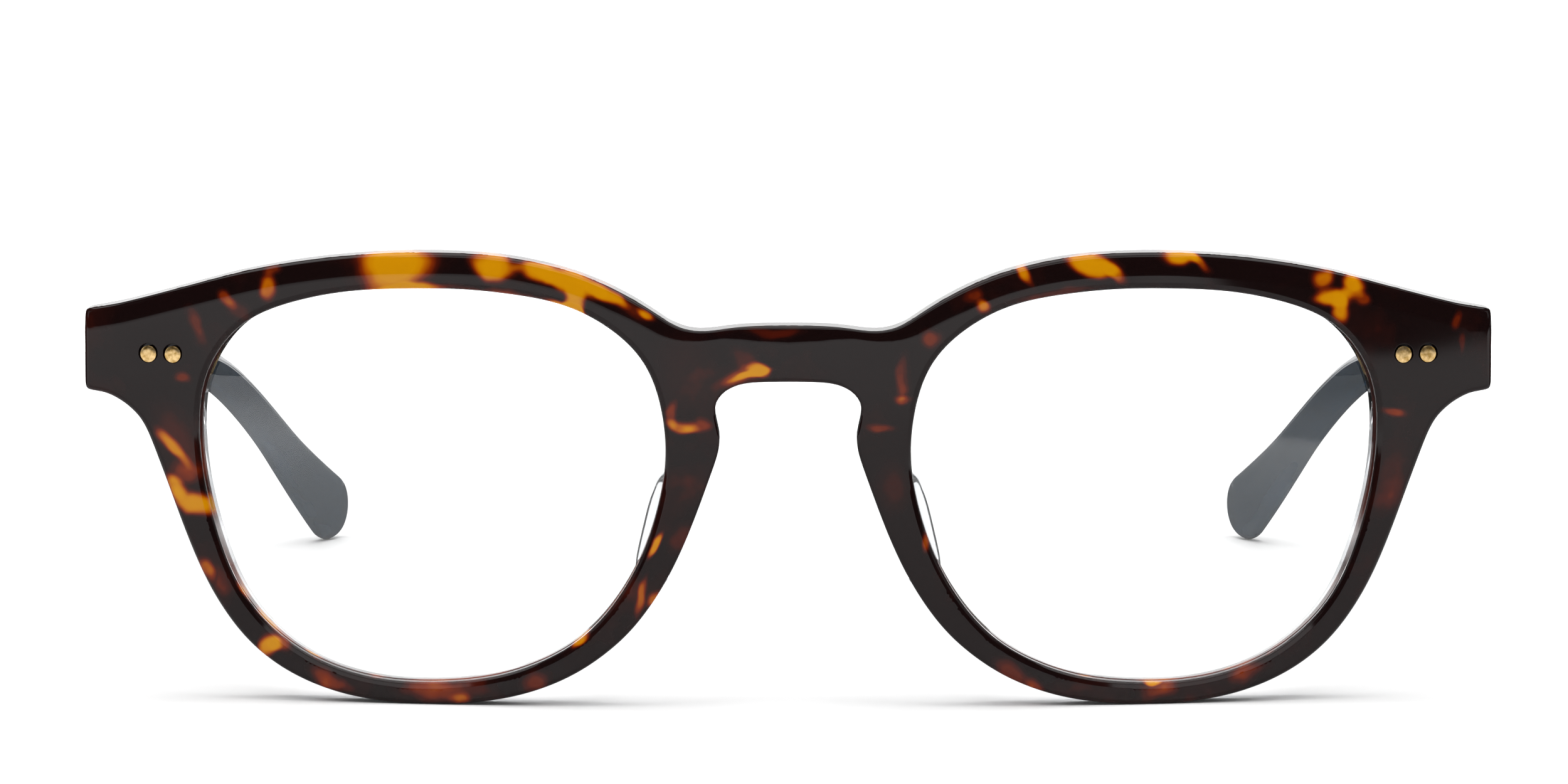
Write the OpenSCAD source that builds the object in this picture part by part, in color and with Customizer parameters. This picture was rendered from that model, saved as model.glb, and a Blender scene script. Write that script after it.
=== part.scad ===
// Full-rim acetate spectacles with a keyhole bridge, open and standing on the rims and the temple tips.
// X runs to the right of someone facing the front, Y runs back along the temples, Z is up.

/* [Lens openings] */
// Width of each rim opening
lens_w = 47.75; // [44:0.25:52]
// Height of each rim opening
lens_h = 40.2; // [36:0.1:44]
// Thickness of each lens
lens_t = 1.2; // [1:0.1:1.6]
// Depth of the lens groove in the rim
groove_d = 0.6; // [0.4:0.05:0.9]
// Depth of the lens's face below the front's face, at mid height
lens_set = 0.9; // [0.7:0.05:1.1]

/* [Front] */
// Radius that the front is bent to, seen from above
front_r = 240; // [200:5:320]
// Thickness of the tortoiseshell layer
tortoise_t = 3.6; // [3.4:0.1:4.2]
// Thickness of the clear layer behind it
crystal_t = 1.6; // [1.4:0.1:2]
// Width of the rim under the opening
rim_bottom_w = 2.2; // [1.8:0.05:3]
// Width of the rim over the opening
rim_top_w = 3.7; // [3:0.05:4.5]

/* [Bridge] */
// Distance between the two openings
bridge_w = 24.7; // [22:0.1:27]
// Height of the bridge's top edge above the table
bridge_z = 38.9; // [37.5:0.05:40]
// Depth of the bridge from top edge to keyhole
bridge_h = 5.7; // [4.5:0.1:6.5]
// Width of the keyhole at its widest
keyhole_w = 15.5; // [14.8:0.1:16]
// Width of the keyhole's neck
keyhole_neck_w = 13.7; // [13:0.1:14.4]

/* [End pieces] */
// Length of each end piece, from the opening out to its edge
end_l = 11.95; // [11.5:0.05:13]
// Height of the outer edge of each end piece
end_h = 8.35; // [7.6:0.05:9]
// Height of its middle above the table
end_z = 35.6; // [35:0.1:36.4]

/* [Nose pads] */
// Length of each pad up the rim
pad_l = 12; // [10:0.2:13]
// Half width of a pad at its foot
pad_r = 2.1; // [1.8:0.1:2.4]
// Distance that a pad stands out behind the front
pad_out = 5.6; // [4.5:0.1:6.5]

/* [Hinges] */
// Radius of the hinge barrel
barrel_r = 1.35; // [1.25:0.05:1.4]
// Height of the barrel, five knuckles together
barrel_h = 6; // [5:0.25:6.5]
// Radius of the screw's shank
screw_r = 0.6; // [0.5:0.05:0.65]
// Thickness of the hinge plates
plate_t = 0.9; // [0.8:0.05:1.1]
// Height of the hinge plates
plate_h = 5; // [4.5:0.1:5.4]

/* [Rivets] */
// Radius of a rivet's head
head_r = 0.85; // [0.8:0.05:1]
// Thickness of a rivet's head
head_t = 0.5; // [0.4:0.05:0.6]
// Radius of a rivet's shank
shank_r = 0.55; // [0.45:0.05:0.6]
// Distance between the two rivets of a pair
rivet_pitch = 2.55; // [2.4:0.05:3]
// Height of the front's rivets above the table
rivet_z = 35.25; // [34.8:0.05:35.6]

/* [Temples] */
// Thickness of a temple at the hinge
temple_t = 4; // [3.6:0.1:4.4]
// Thickness of a temple behind the ear
temple_tip_t = 2.7; // [2.5:0.1:3.6]
// Height of a temple at the hinge
temple_h = 7.5; // [7:0.1:7.8]
// Height of a temple where it is slimmest
temple_mid_h = 4.5; // [4.2:0.1:6]
// Height of a temple where the bend over the ear ends
temple_ear_h = 5.4; // [5:0.1:7]
// Radius of the rounded tip
tip_r = 4.1; // [3.4:0.1:4.6]
// Straight length from the hinge to the bend over the ear
straight_l = 85; // [78:1:92]
// Radius of the bend over the ear
bend_r = 93; // [80:1:110]
// Angle of the bend over the ear
bend_a = 23.7; // [18:0.1:27]
// Straight length from the bend to the tip's centre
ear_l = 17; // [13:0.5:22]
// Angle at which the temples close in towards each other
close_a = 2.1; // [1.6:0.1:3]
// Radius of the tip's curve towards the head, seen from above
toe_r = 160; // [140:1:200]
// Half height of the core wire
core_h = 1; // [0.8:0.05:1.2]
// Half thickness of the core wire
core_t = 0.45; // [0.4:0.05:0.6]

/* [Clearances] */
// Gap in the glue line between the two layers, and under the nose pads
bond = 0.04; // [0.03:0.01:0.06]
// Running clearance of the screw, the knuckles and the butt joint
run = 0.05; // [0.03:0.01:0.08]
// Clearance round the lens, the rivets, the plates and the core wire
seat = 0.03; // [0.02:0.01:0.05]

/* [Hidden] */
$fn = 48;

// Facets of the large bending circles, and the spacing of points on an outline
fn_bend = 360;
outline_step = 2;
// Room past a cut, so that no two faces of a cut coincide
over = 1;

front_w = bridge_w + 2 * (lens_w + end_l);
front_t = tortoise_t + crystal_t;
front_h = rim_bottom_w + lens_h + rim_top_w;
end_top = end_z + end_h / 2;
end_low = end_z - end_h / 2;
keyhole_z = bridge_z - bridge_h;
lens_mid_z = rim_bottom_w + lens_h / 2;

// Front to back place of a surface that lies t behind the front's face, at x
function bent_y(x, t) = front_r - sqrt(pow(front_r - t, 2) - x * x);

// The outlines are drawn in millimetres on the sizes above, and these two stretch them to other sizes
function wide(x) = lookup(x, [
    [0, 0], [12.35, bridge_w / 2], [60.1, bridge_w / 2 + lens_w], [72.05, front_w / 2]]);
function high(z) = lookup(z, [
    [-1, -1], [0, 0], [2.2, rim_bottom_w], [42.4, rim_bottom_w + lens_h], [46.1, front_h]]);

// Smooth curve through a closed list of points, with knots spaced by the root of their distance
function gap(a, b) = sqrt(norm(b - a));
function blend(a, b, ta, tb, t) = ((tb - t) * a + (t - ta) * b) / (tb - ta);
function on_span(p, k, t) =
    let (
        a = blend(p[0], p[1], k[0], k[1], t),
        b = blend(p[1], p[2], k[1], k[2], t),
        c = blend(p[2], p[3], k[2], k[3], t))
    blend(blend(a, b, k[0], k[2], t), blend(b, c, k[1], k[3], t), k[1], k[2], t);
function closed_curve(p) = let (n = len(p)) [
    for (i = [0:n - 1])
        let (
            q = [p[(i + n - 1) % n], p[i], p[(i + 1) % n], p[(i + 2) % n]],
            k1 = gap(q[0], q[1]),
            k2 = k1 + gap(q[1], q[2]),
            k3 = k2 + gap(q[2], q[3]),
            steps = max(1, ceil(norm(q[2] - q[1]) / outline_step)))
        for (j = [0:steps - 1]) on_span(q, [0, k1, k2, k3], k1 + (k2 - k1) * j / steps)];
function relaxed(p) = let (n = len(p)) [
    for (i = [0:n - 1]) (p[(i + n - 1) % n] + 2 * p[i] + p[(i + 1) % n]) / 4];

// A closed outline moved outwards by d; the points run clockwise
function grown(p, d) = let (n = len(p)) [
    for (i = [0:n - 1])
        let (t = p[(i + 1) % n] - p[(i + n - 1) % n])
        p[i] + d * [-t[1], t[0]] / norm(t)];

// Right half of the front's outline, from the middle of the bridge's top edge round to the keyhole
half_outline = concat(
    [for (p = [[0, 0], [5, -0.1], [7.6, -0.5], [9.3, -0.9]]) [wide(p[0]), bridge_z + p[1]]],
    [for (p = [[11, 38.55], [12.9, 39.8], [15.5, 41.45], [20.5, 43.85], [28, 45.65], [36, 46.1],
               [45, 45.65], [54, 44.25], [62, 42.1]]) [wide(p[0]), high(p[1])]],
    [for (p = [[68.5, 0.55], [71.45, 0], [71.95, -0.6]]) [wide(p[0]), end_top + p[1]]],
    [[front_w / 2, end_z]],
    [for (p = [[71.95, 0.5], [71.4, -0.05], [69.8, -0.35], [68.3, -0.95], [67.15, -1.8]])
        [wide(p[0]), end_low + p[1]]],
    [for (p = [[66.2, 28.8], [65.1, 26.3], [63.2, 21.3], [61.3, 16.2], [58.95, 11.1], [55.2, 6],
               [51, 2.9], [46, 0.95], [41.2, 0.15], [37, -0.05], [32.8, 0.12], [27.6, 0.9],
               [22.2, 2.9], [17.85, 5.9], [15.05, 8.8], [12.45, 12.7], [10.55, 16.6],
               [9.05, 20.4], [7.65, 24.3]]) [wide(p[0]), high(p[1])]],
    [for (p = [[0.05, -6.7], [0, -5.7], [0.15, -4.7]])
        [keyhole_neck_w / 2 + p[0], keyhole_z + p[1]]],
    [for (p = [[0, -3.2], [-0.15, -2], [-0.95, -0.85], [-2.6, -0.22]])
        [keyhole_w / 2 + p[0], keyhole_z + p[1]]],
    [[keyhole_w / 5, keyhole_z - 0.05], [0, keyhole_z]]);
last = len(half_outline) - 1;
front_outline = relaxed(relaxed(closed_curve(concat(half_outline, [
    for (i = [last - 1:-1:1]) [-half_outline[i][0], half_outline[i][1]]]))));

// Right opening, from its nasal side over the top
opening = relaxed(relaxed(closed_curve([
    for (p = [[12.35, 26.6], [14.5, 35.1], [21.1, 40.3], [29.5, 42.1], [38, 42.4], [47.4, 41.6],
              [55.6, 38.6], [59.5, 33.2], [60.1, 26.3], [58.65, 18.1], [55.7, 10.8], [50.4, 5.55],
              [43.5, 2.75], [36, 2.2], [28, 3.35], [20.7, 7.1], [15.9, 13.2], [13.1, 20.7]])
        [wide(p[0]), high(p[1])]])));

// Hinge places on the right side
temple_in_x = front_w / 2 - temple_t;
butt_y = bent_y(temple_in_x, front_t);
pin_x = temple_in_x - barrel_r - 3 * run;
plate_proud = 0.3;
pin_y = bent_y(pin_x, front_t) + barrel_r + plate_proud + 0.25;
hinge_z = end_z + 0.2;
knuckle_h = barrel_h / 5;
screw_head_r = barrel_r - 0.3;
screw_head_t = knuckle_h / 2;
thread_r = screw_r - 0.03;
// Both plates are let into the acetate, so that only plate_proud of their thickness stands out
plate_sunk = plate_t - plate_proud;
plate_l = 6.8;
plate_x = (pin_x + 0.4) * front_r / (front_r - front_t) - plate_l / 2;
rivet_x = plate_x - 0.9;
// A rivet's head stands out of the face by this much
head_proud = 0.06;

// Temple, seen from the side: a straight, a bend and a straight, tilted until the tip stands on the table
temple_z = end_z + 0.4;
tip_drop = temple_z - tip_r + 0.03;
run_along = straight_l + bend_r * sin(bend_a) + ear_l * cos(bend_a);
run_across = bend_r * (1 - cos(bend_a)) + ear_l * sin(bend_a);
tilt = asin(tip_drop / norm([run_along, run_across])) - atan2(run_across, run_along);
bend_l = bend_r * bend_a * PI / 180;
path_l = straight_l + bend_l + ear_l;
function path_a(s) = tilt + bend_a * min(1, max(0, (s - straight_l) / bend_l));
function path_at(s) = let (a = path_a(s))
    s < straight_l ? [s * cos(tilt), -s * sin(tilt)]
    : let (
        b = [straight_l * cos(tilt) + bend_r * (sin(a) - sin(tilt)),
             -straight_l * sin(tilt) - bend_r * (cos(tilt) - cos(a))],
        rest = max(0, s - straight_l - bend_l))
      b + rest * [cos(a), -sin(a)];
path_start = [butt_y + run, temple_z];
tip_end_y = path_start[0] + path_at(path_l)[0] + tip_r;
function half_height(s) = lookup(s, [
    [-5, temple_h / 2], [8, temple_h / 2], [straight_l * 0.3, temple_mid_h / 2 + 0.7],
    [straight_l * 0.7, temple_mid_h / 2], [straight_l, temple_mid_h / 2],
    [straight_l + bend_l, temple_ear_h / 2], [path_l, tip_r]]);
stations = concat([-4], [0:straight_l / 6:straight_l], [for (i = [1:8]) straight_l + bend_l * i / 8],
    [path_l - ear_l / 2, path_l]);
station_list = [for (g = stations) for (s = g) s];

// Temple, seen from above: the inner face is straight to toe_y, then curves towards the head
toe_y = path_start[0] + straight_l * 0.96;
function inner_x(y) =
    y < toe_y ? temple_in_x - (y - butt_y) * tan(close_a)
    : let (k = (y - toe_y) / toe_r)
      temple_in_x - (toe_y - butt_y) * tan(close_a) - (y - toe_y) * tan(close_a) - toe_r * k * k / 2;
function thick(y) = lookup(y, [[butt_y, temple_t], [toe_y, temple_tip_t], [tip_end_y, temple_tip_t]]);
plan_rows = concat([butt_y + run, toe_y], [for (i = [1:14]) toe_y + (tip_end_y + over - toe_y) * i / 14]);

// The whole object is centred over the origin, front to back
origin_y = -tip_end_y / 2;

module extruded_back(points, y0, y1) {
    translate([0, y1, 0]) rotate([90, 0, 0]) linear_extrude(y1 - y0) polygon(points);
}

// Everything between two depths behind the front's face
module bent_layer(t0, t1) {
    translate([0, front_r, -over]) difference() {
        cylinder(r = front_r - t0, h = front_h + 2 * over, $fn = fn_bend);
        translate([0, 0, -over]) cylinder(r = front_r - t1, h = front_h + 4 * over, $fn = fn_bend);
    }
}

// Shell of the lens, between two depths at mid height
module lens_shell(t0, t1) {
    translate([0, front_r, lens_mid_z]) difference() {
        sphere(r = front_r - t0, $fn = fn_bend);
        sphere(r = front_r - t1, $fn = fn_bend);
    }
}

// Puts a child on the front's face at x and height z, t deep, with its Y along the local normal
module on_front(x, z, t) {
    translate([0, front_r, z]) rotate([0, 0, asin(x / front_r)]) translate([0, t - front_r, 0]) children();
}

module both_sides() {
    children();
    mirror([1, 0, 0]) children();
}

module on_side(side) {
    translate([0, origin_y, 0]) mirror([side < 0 ? 1 : 0, 0, 0]) children();
}

// Cylinder along +Y from the origin
module along_y(r, l) {
    rotate([-90, 0, 0]) cylinder(r = r, h = l);
}

module rivet_places() {
    for (i = [-0.5, 0.5]) on_front(rivet_x + i * rivet_pitch, rivet_z, 0) children();
}

module front_holes() {
    rivet_places() {
        translate([0, -over, 0]) along_y(shank_r + seat, front_t + 2 * over);
        translate([0, -over, 0]) along_y(head_r + seat, over + head_t);
    }
}

module front_plate_block(room) {
    on_front(plate_x, hinge_z, front_t - plate_sunk - room)
        translate([-plate_l / 2 - room, 0, -plate_h / 2 - room])
            cube([plate_l + 2 * room, plate_t + room, plate_h + 2 * room]);
}

// What is left of a layer of the front: its outline, without the openings and behind the butt joint
module front_layer(t0, t1) {
    difference() {
        intersection() {
            extruded_back(front_outline, -over, butt_y);
            bent_layer(t0, t1);
            translate([-front_w, -over, 0]) cube([2 * front_w, front_w, front_h + over]);
        }
        both_sides() extruded_back(opening, -2 * over, butt_y + over);
        both_sides() front_holes();
    }
}

module front_tortoise() {
    color("#3a1a10") translate([0, origin_y, 0]) difference() {
        front_layer(0, tortoise_t);
        both_sides() intersection() {
            extruded_back(grown(opening, groove_d), -over, butt_y);
            lens_shell(lens_set - seat, lens_set + lens_t + seat);
        }
    }
}

module front_crystal_back() {
    color("#e8ecec", 0.5) translate([0, origin_y, 0]) difference() {
        front_layer(tortoise_t + bond, front_t);
        both_sides() front_plate_block(seat);
    }
}

module lens(side) {
    color("#dfe9ee", 0.3) on_side(side) intersection() {
        extruded_back(grown(opening, groove_d - seat), -over, butt_y);
        lens_shell(lens_set, lens_set + lens_t);
    }
}
module lens_left() lens(-1);
module lens_right() lens(1);

// Clear pad: a rounded fin on the back of the nasal rim
module nose_pad(side) {
    low_z = high(12);
    foot = [[wide(13.45), low_z + pad_r, pad_r], [wide(11.8), low_z + pad_l - pad_r, pad_r - 0.1]];
    crest_r = pad_r * 0.62;
    color("#eef3f5", 0.5) on_side(side) difference() {
        hull() for (f = foot) {
            translate([f[0], bent_y(f[0], front_t) + 0.4, f[1]]) sphere(r = f[2], $fn = 32);
            translate([f[0] - 0.7, bent_y(f[0], front_t) + pad_out - crest_r, f[1]])
                sphere(r = crest_r, $fn = 32);
        }
        translate([0, front_r, 0]) difference() {
            cylinder(r = front_r, h = front_h, $fn = fn_bend);
            translate([0, 0, -over])
                cylinder(r = front_r - front_t - bond, h = front_h + 2 * over, $fn = fn_bend);
        }
    }
}
module nose_pad_left() nose_pad(-1);
module nose_pad_right() nose_pad(1);

// Knuckles, counted from the top; web is the outline that joins them to their plate
module knuckles(which, web) {
    for (i = which) translate([0, 0, hinge_z + barrel_h / 2 - (i + 1) * knuckle_h + run / 2])
        difference() {
            union() {
                translate([pin_x, pin_y, 0]) cylinder(r = barrel_r, h = knuckle_h - run);
                linear_extrude(knuckle_h - run) polygon(web);
            }
            translate([pin_x, pin_y, -over])
                cylinder(r = i == 4 ? thread_r : screw_r + run, h = knuckle_h + 2 * over);
        }
}

module hinge_front(side) {
    plate_back = [for (x = [pin_x - 2.3, pin_x + 0.2]) [x, bent_y(x, front_t) + plate_proud / 2]];
    color("#c9a45c") on_side(side) difference() {
        union() {
            knuckles([0, 2, 4], concat(plate_back, [
                [pin_x + barrel_r * 0.98, pin_y], [pin_x - barrel_r * 0.98, pin_y]]));
            front_plate_block(0);
        }
        translate([pin_x, pin_y, hinge_z + barrel_h / 2 - screw_head_t - run])
            cylinder(r = screw_head_r + run, h = barrel_h);
        rivet_places() along_y(shank_r + seat, front_t + 2 * over);
    }
}
module hinge_front_left() hinge_front(-1);
module hinge_front_right() hinge_front(1);

module front_rivets(side) {
    color("#d8b25e") on_side(side) rivet_places() translate([0, -head_proud, 0]) {
        along_y(head_r, head_t + head_proud - seat);
        along_y(shank_r, front_t + plate_proud + 2 * head_proud);
    }
}
module front_rivets_left() front_rivets(-1);
module front_rivets_right() front_rivets(1);

module hinge_screw(side) {
    slot_w = 0.3;
    color("#c9a45c") on_side(side) translate([pin_x, pin_y, hinge_z + barrel_h / 2]) difference() {
        union() {
            translate([0, 0, -screw_head_t]) cylinder(r = screw_head_r, h = screw_head_t - run);
            translate([0, 0, -barrel_h + run]) cylinder(r = screw_r, h = barrel_h - screw_head_t);
        }
        translate([-barrel_r, -slot_w / 2, -screw_head_t / 2]) cube([2 * barrel_r, slot_w, screw_head_t]);
    }
}
module hinge_screw_left() hinge_screw(-1);
module hinge_screw_right() hinge_screw(1);

// Band along the temple seen from the side, through stations with a half height for each
module side_band(at, half) {
    n = len(at);
    function edge(i, side) = path_at(at[i]) + side * half[i] * [sin(path_a(at[i])), cos(path_a(at[i]))];
    translate([0, path_start[0], path_start[1]]) rotate([90, 0, 90]) linear_extrude(front_w)
        polygon(concat([for (i = [0:n - 1]) edge(i, 1)], [for (i = [n - 1:-1:0]) edge(i, -1)]));
}

// Band along the temple seen from above; the two lists give the distances out from its inner face
module plan_band(rows, from, to) {
    n = len(rows);
    linear_extrude(front_w) polygon(concat(
        [for (i = [0:n - 1]) [inner_x(rows[i]) + from[i], rows[i]]],
        [for (i = [n - 1:-1:0]) [inner_x(rows[i]) + to[i], rows[i]]]));
}

// The core wire, from core_from behind the hinge end to the middle of the tip
core_from = 16;
module core_block(room) {
    at = [for (s = station_list) if (s > 8 && s < path_l) s];
    rows = concat(butt_y + core_from - room,
        [for (y = plan_rows) if (y > butt_y + core_from && y < tip_end_y - tip_r) y]);
    intersection() {
        side_band(at, [for (s = at) core_h + room]);
        plan_band(rows, [for (y = rows) thick(y) / 2 - core_t - room],
            [for (y = rows) thick(y) / 2 + core_t + room]);
    }
}

// Puts a child on the temple's inner face at y, with its X outwards through the temple
module on_temple(y, across) {
    translate([temple_in_x - (y - butt_y) * tan(close_a), y,
               path_start[1] - (y - path_start[0]) * tan(tilt)])
        rotate([0, 0, close_a]) rotate([-tilt, 0, 0]) translate([across, 0, 0]) children();
}
plate_y = pin_y + barrel_r + 0.25;
temple_plate_l = 8.4;
module temple_plate_block(room) {
    on_temple(plate_y, -plate_proud)
        translate([0, -room, -plate_h / 2 - room])
            cube([plate_t + room, temple_plate_l + 2 * room, plate_h + 2 * room]);
}

// Rivet places on the temple's outer face, with the child's Y inwards through the temple
module temple_rivet_places() {
    for (i = [-0.5, 0.5]) {
        y = plate_y + temple_plate_l * 0.55 + i * rivet_pitch * 1.3;
        on_temple(y, thick(y)) rotate([0, 0, 90]) children();
    }
}

module temple(side) {
    color("#3c4654") on_side(side) difference() {
        intersection() {
            union() {
                side_band(station_list, [for (s = station_list) half_height(s)]);
                translate([0, path_start[0] + path_at(path_l)[0], path_start[1] + path_at(path_l)[1]])
                    rotate([0, 90, 0]) cylinder(r = tip_r, h = front_w);
            }
            plan_band(plan_rows, [for (y = plan_rows) 0], [for (y = plan_rows) thick(y)]);
            cube([front_w, 2 * tip_end_y, front_h]);
        }
        core_block(seat);
        temple_plate_block(seat);
        temple_rivet_places() translate([0, -over, 0]) {
            along_y(shank_r + seat, temple_t + 2 * over);
            along_y(head_r + seat, over + head_t);
        }
    }
}
module temple_left() temple(-1);
module temple_right() temple(1);

module core_wire(side) {
    color("#b9bcc0") on_side(side) core_block(0);
}
module core_wire_left() core_wire(-1);
module core_wire_right() core_wire(1);

module hinge_temple(side) {
    web_y = plate_y + 1.4;
    color("#c9a45c") on_side(side) difference() {
        union() {
            knuckles([1, 3], [[pin_x - 0.5, pin_y + 0.8], [pin_x + barrel_r * 0.98, pin_y],
                              [inner_x(web_y) - run, web_y], [inner_x(web_y) - plate_proud, web_y]]);
            temple_plate_block(0);
        }
        temple_rivet_places() along_y(shank_r + seat, temple_t + over);
    }
}
module hinge_temple_left() hinge_temple(-1);
module hinge_temple_right() hinge_temple(1);

module temple_rivets(side) {
    color("#d8b25e") on_side(side) temple_rivet_places() translate([0, -head_proud, 0]) {
        along_y(head_r, head_t + head_proud - seat);
        along_y(shank_r, temple_t + plate_proud + head_proud);
    }
}
module temple_rivets_left() temple_rivets(-1);
module temple_rivets_right() temple_rivets(1);

front_tortoise();
front_crystal_back();
lens_left();
lens_right();
nose_pad_left();
nose_pad_right();
hinge_front_left();
hinge_front_right();
front_rivets_left();
front_rivets_right();
hinge_screw_left();
hinge_screw_right();
temple_left();
temple_right();
core_wire_left();
core_wire_right();
hinge_temple_left();
hinge_temple_right();
temple_rivets_left();
temple_rivets_right();
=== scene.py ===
"""Round full-rim acetate spectacles with a keyhole bridge, standing open on a white table.

Sizes are in millimetres and become metres where a mesh is made. X runs to the right of someone facing the
front, Y runs back along the temples and Z is up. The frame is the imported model.
"""

import logging
import math
from dataclasses import dataclass
from enum import Enum
from typing import Callable

import bpy
import numpy as np
from mathutils import Euler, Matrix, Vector
from mathutils.geometry import delaunay_2d_cdt


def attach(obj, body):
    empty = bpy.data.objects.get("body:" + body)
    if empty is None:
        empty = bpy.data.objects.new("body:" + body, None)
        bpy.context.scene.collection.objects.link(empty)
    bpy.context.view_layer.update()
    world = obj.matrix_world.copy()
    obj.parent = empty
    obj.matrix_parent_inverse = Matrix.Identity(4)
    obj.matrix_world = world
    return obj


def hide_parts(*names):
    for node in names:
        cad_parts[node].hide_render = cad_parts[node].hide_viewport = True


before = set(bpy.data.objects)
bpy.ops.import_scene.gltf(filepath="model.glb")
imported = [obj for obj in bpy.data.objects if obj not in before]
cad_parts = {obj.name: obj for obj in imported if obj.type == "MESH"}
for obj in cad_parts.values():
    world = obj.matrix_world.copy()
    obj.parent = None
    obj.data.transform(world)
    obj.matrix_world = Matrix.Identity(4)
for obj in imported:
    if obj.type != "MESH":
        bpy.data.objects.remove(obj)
log = logging.getLogger("spectacles")

MM = 0.001
Depth = Callable[[np.ndarray], np.ndarray]


class Side(Enum):
    """A side of the object, as someone facing its front sees it."""

    LEFT = "left"
    RIGHT = "right"


class Face(Enum):
    """The two faces of a plate."""

    FRONT = 1
    BACK = -1


# ---------------------------------------------------------------------------------------------------------
# Shader helpers
# ---------------------------------------------------------------------------------------------------------


def to_linear(code: str) -> tuple[float, float, float, float]:
    """Turns an sRGB colour into the linear one that a socket takes.

    Args:
        code: the colour as six hex digits after a #.

    Returns:
        Linear red, green and blue, and an alpha of 1.
    """
    parts = [int(code[i : i + 2], 16) / 255 for i in (1, 3, 5)]
    red, green, blue = [c / 12.92 if c <= 0.04045 else ((c + 0.055) / 1.055) ** 2.4 for c in parts]
    return (red, green, blue, 1.0)


def add_node(tree: bpy.types.NodeTree, kind: str, inputs: dict | None = None, **settings) -> bpy.types.Node:
    """Adds a node with its settings, socket values and links.

    Args:
        tree: the node tree that gets it.
        kind: the node's type name.
        inputs: a value or a socket to link for each input, by name or number.
        settings: attributes of the node.

    Returns:
        The new node.
    """
    node = tree.nodes.new(kind)
    for name, value in settings.items():
        setattr(node, name, value)
    for key, value in (inputs or {}).items():
        socket = node.inputs[key]
        if isinstance(value, bpy.types.NodeSocket):
            tree.links.new(value, socket)
        else:
            socket.default_value = value
    return node


def set_ramp(node: bpy.types.Node, stops: list[tuple[float, str]]) -> None:
    """Gives a colour ramp its stops.

    Args:
        node: the colour ramp node.
        stops: places from 0 to 1, each with an sRGB hex colour.
    """
    ramp = node.color_ramp
    while len(ramp.elements) < len(stops):
        ramp.elements.new(0.5)
    for element, (place, code) in zip(ramp.elements, stops):
        element.position = place
        element.color = to_linear(code)


def new_material(name: str) -> tuple[bpy.types.Material, bpy.types.NodeTree, bpy.types.Node]:
    """Starts a material with one shader on its output.

    Args:
        name: the material's name.

    Returns:
        The material, its node tree and its shader node.
    """
    material = bpy.data.materials.new(name)
    material.use_nodes = True
    tree = material.node_tree
    tree.nodes.clear()
    shader = add_node(tree, "ShaderNodeBsdfPrincipled")
    add_node(tree, "ShaderNodeOutputMaterial", {"Surface": shader.outputs[0]})
    return material, tree, shader


# ---------------------------------------------------------------------------------------------------------
# Finishes
# ---------------------------------------------------------------------------------------------------------


@dataclass(frozen=True)
class Patch:
    """One amber patch of the tortoiseshell, an ellipse on the front's X and Z, in millimetres."""

    x: float
    z: float
    long: float
    wide: float
    turn: float
    glow: float = 1.0


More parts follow.
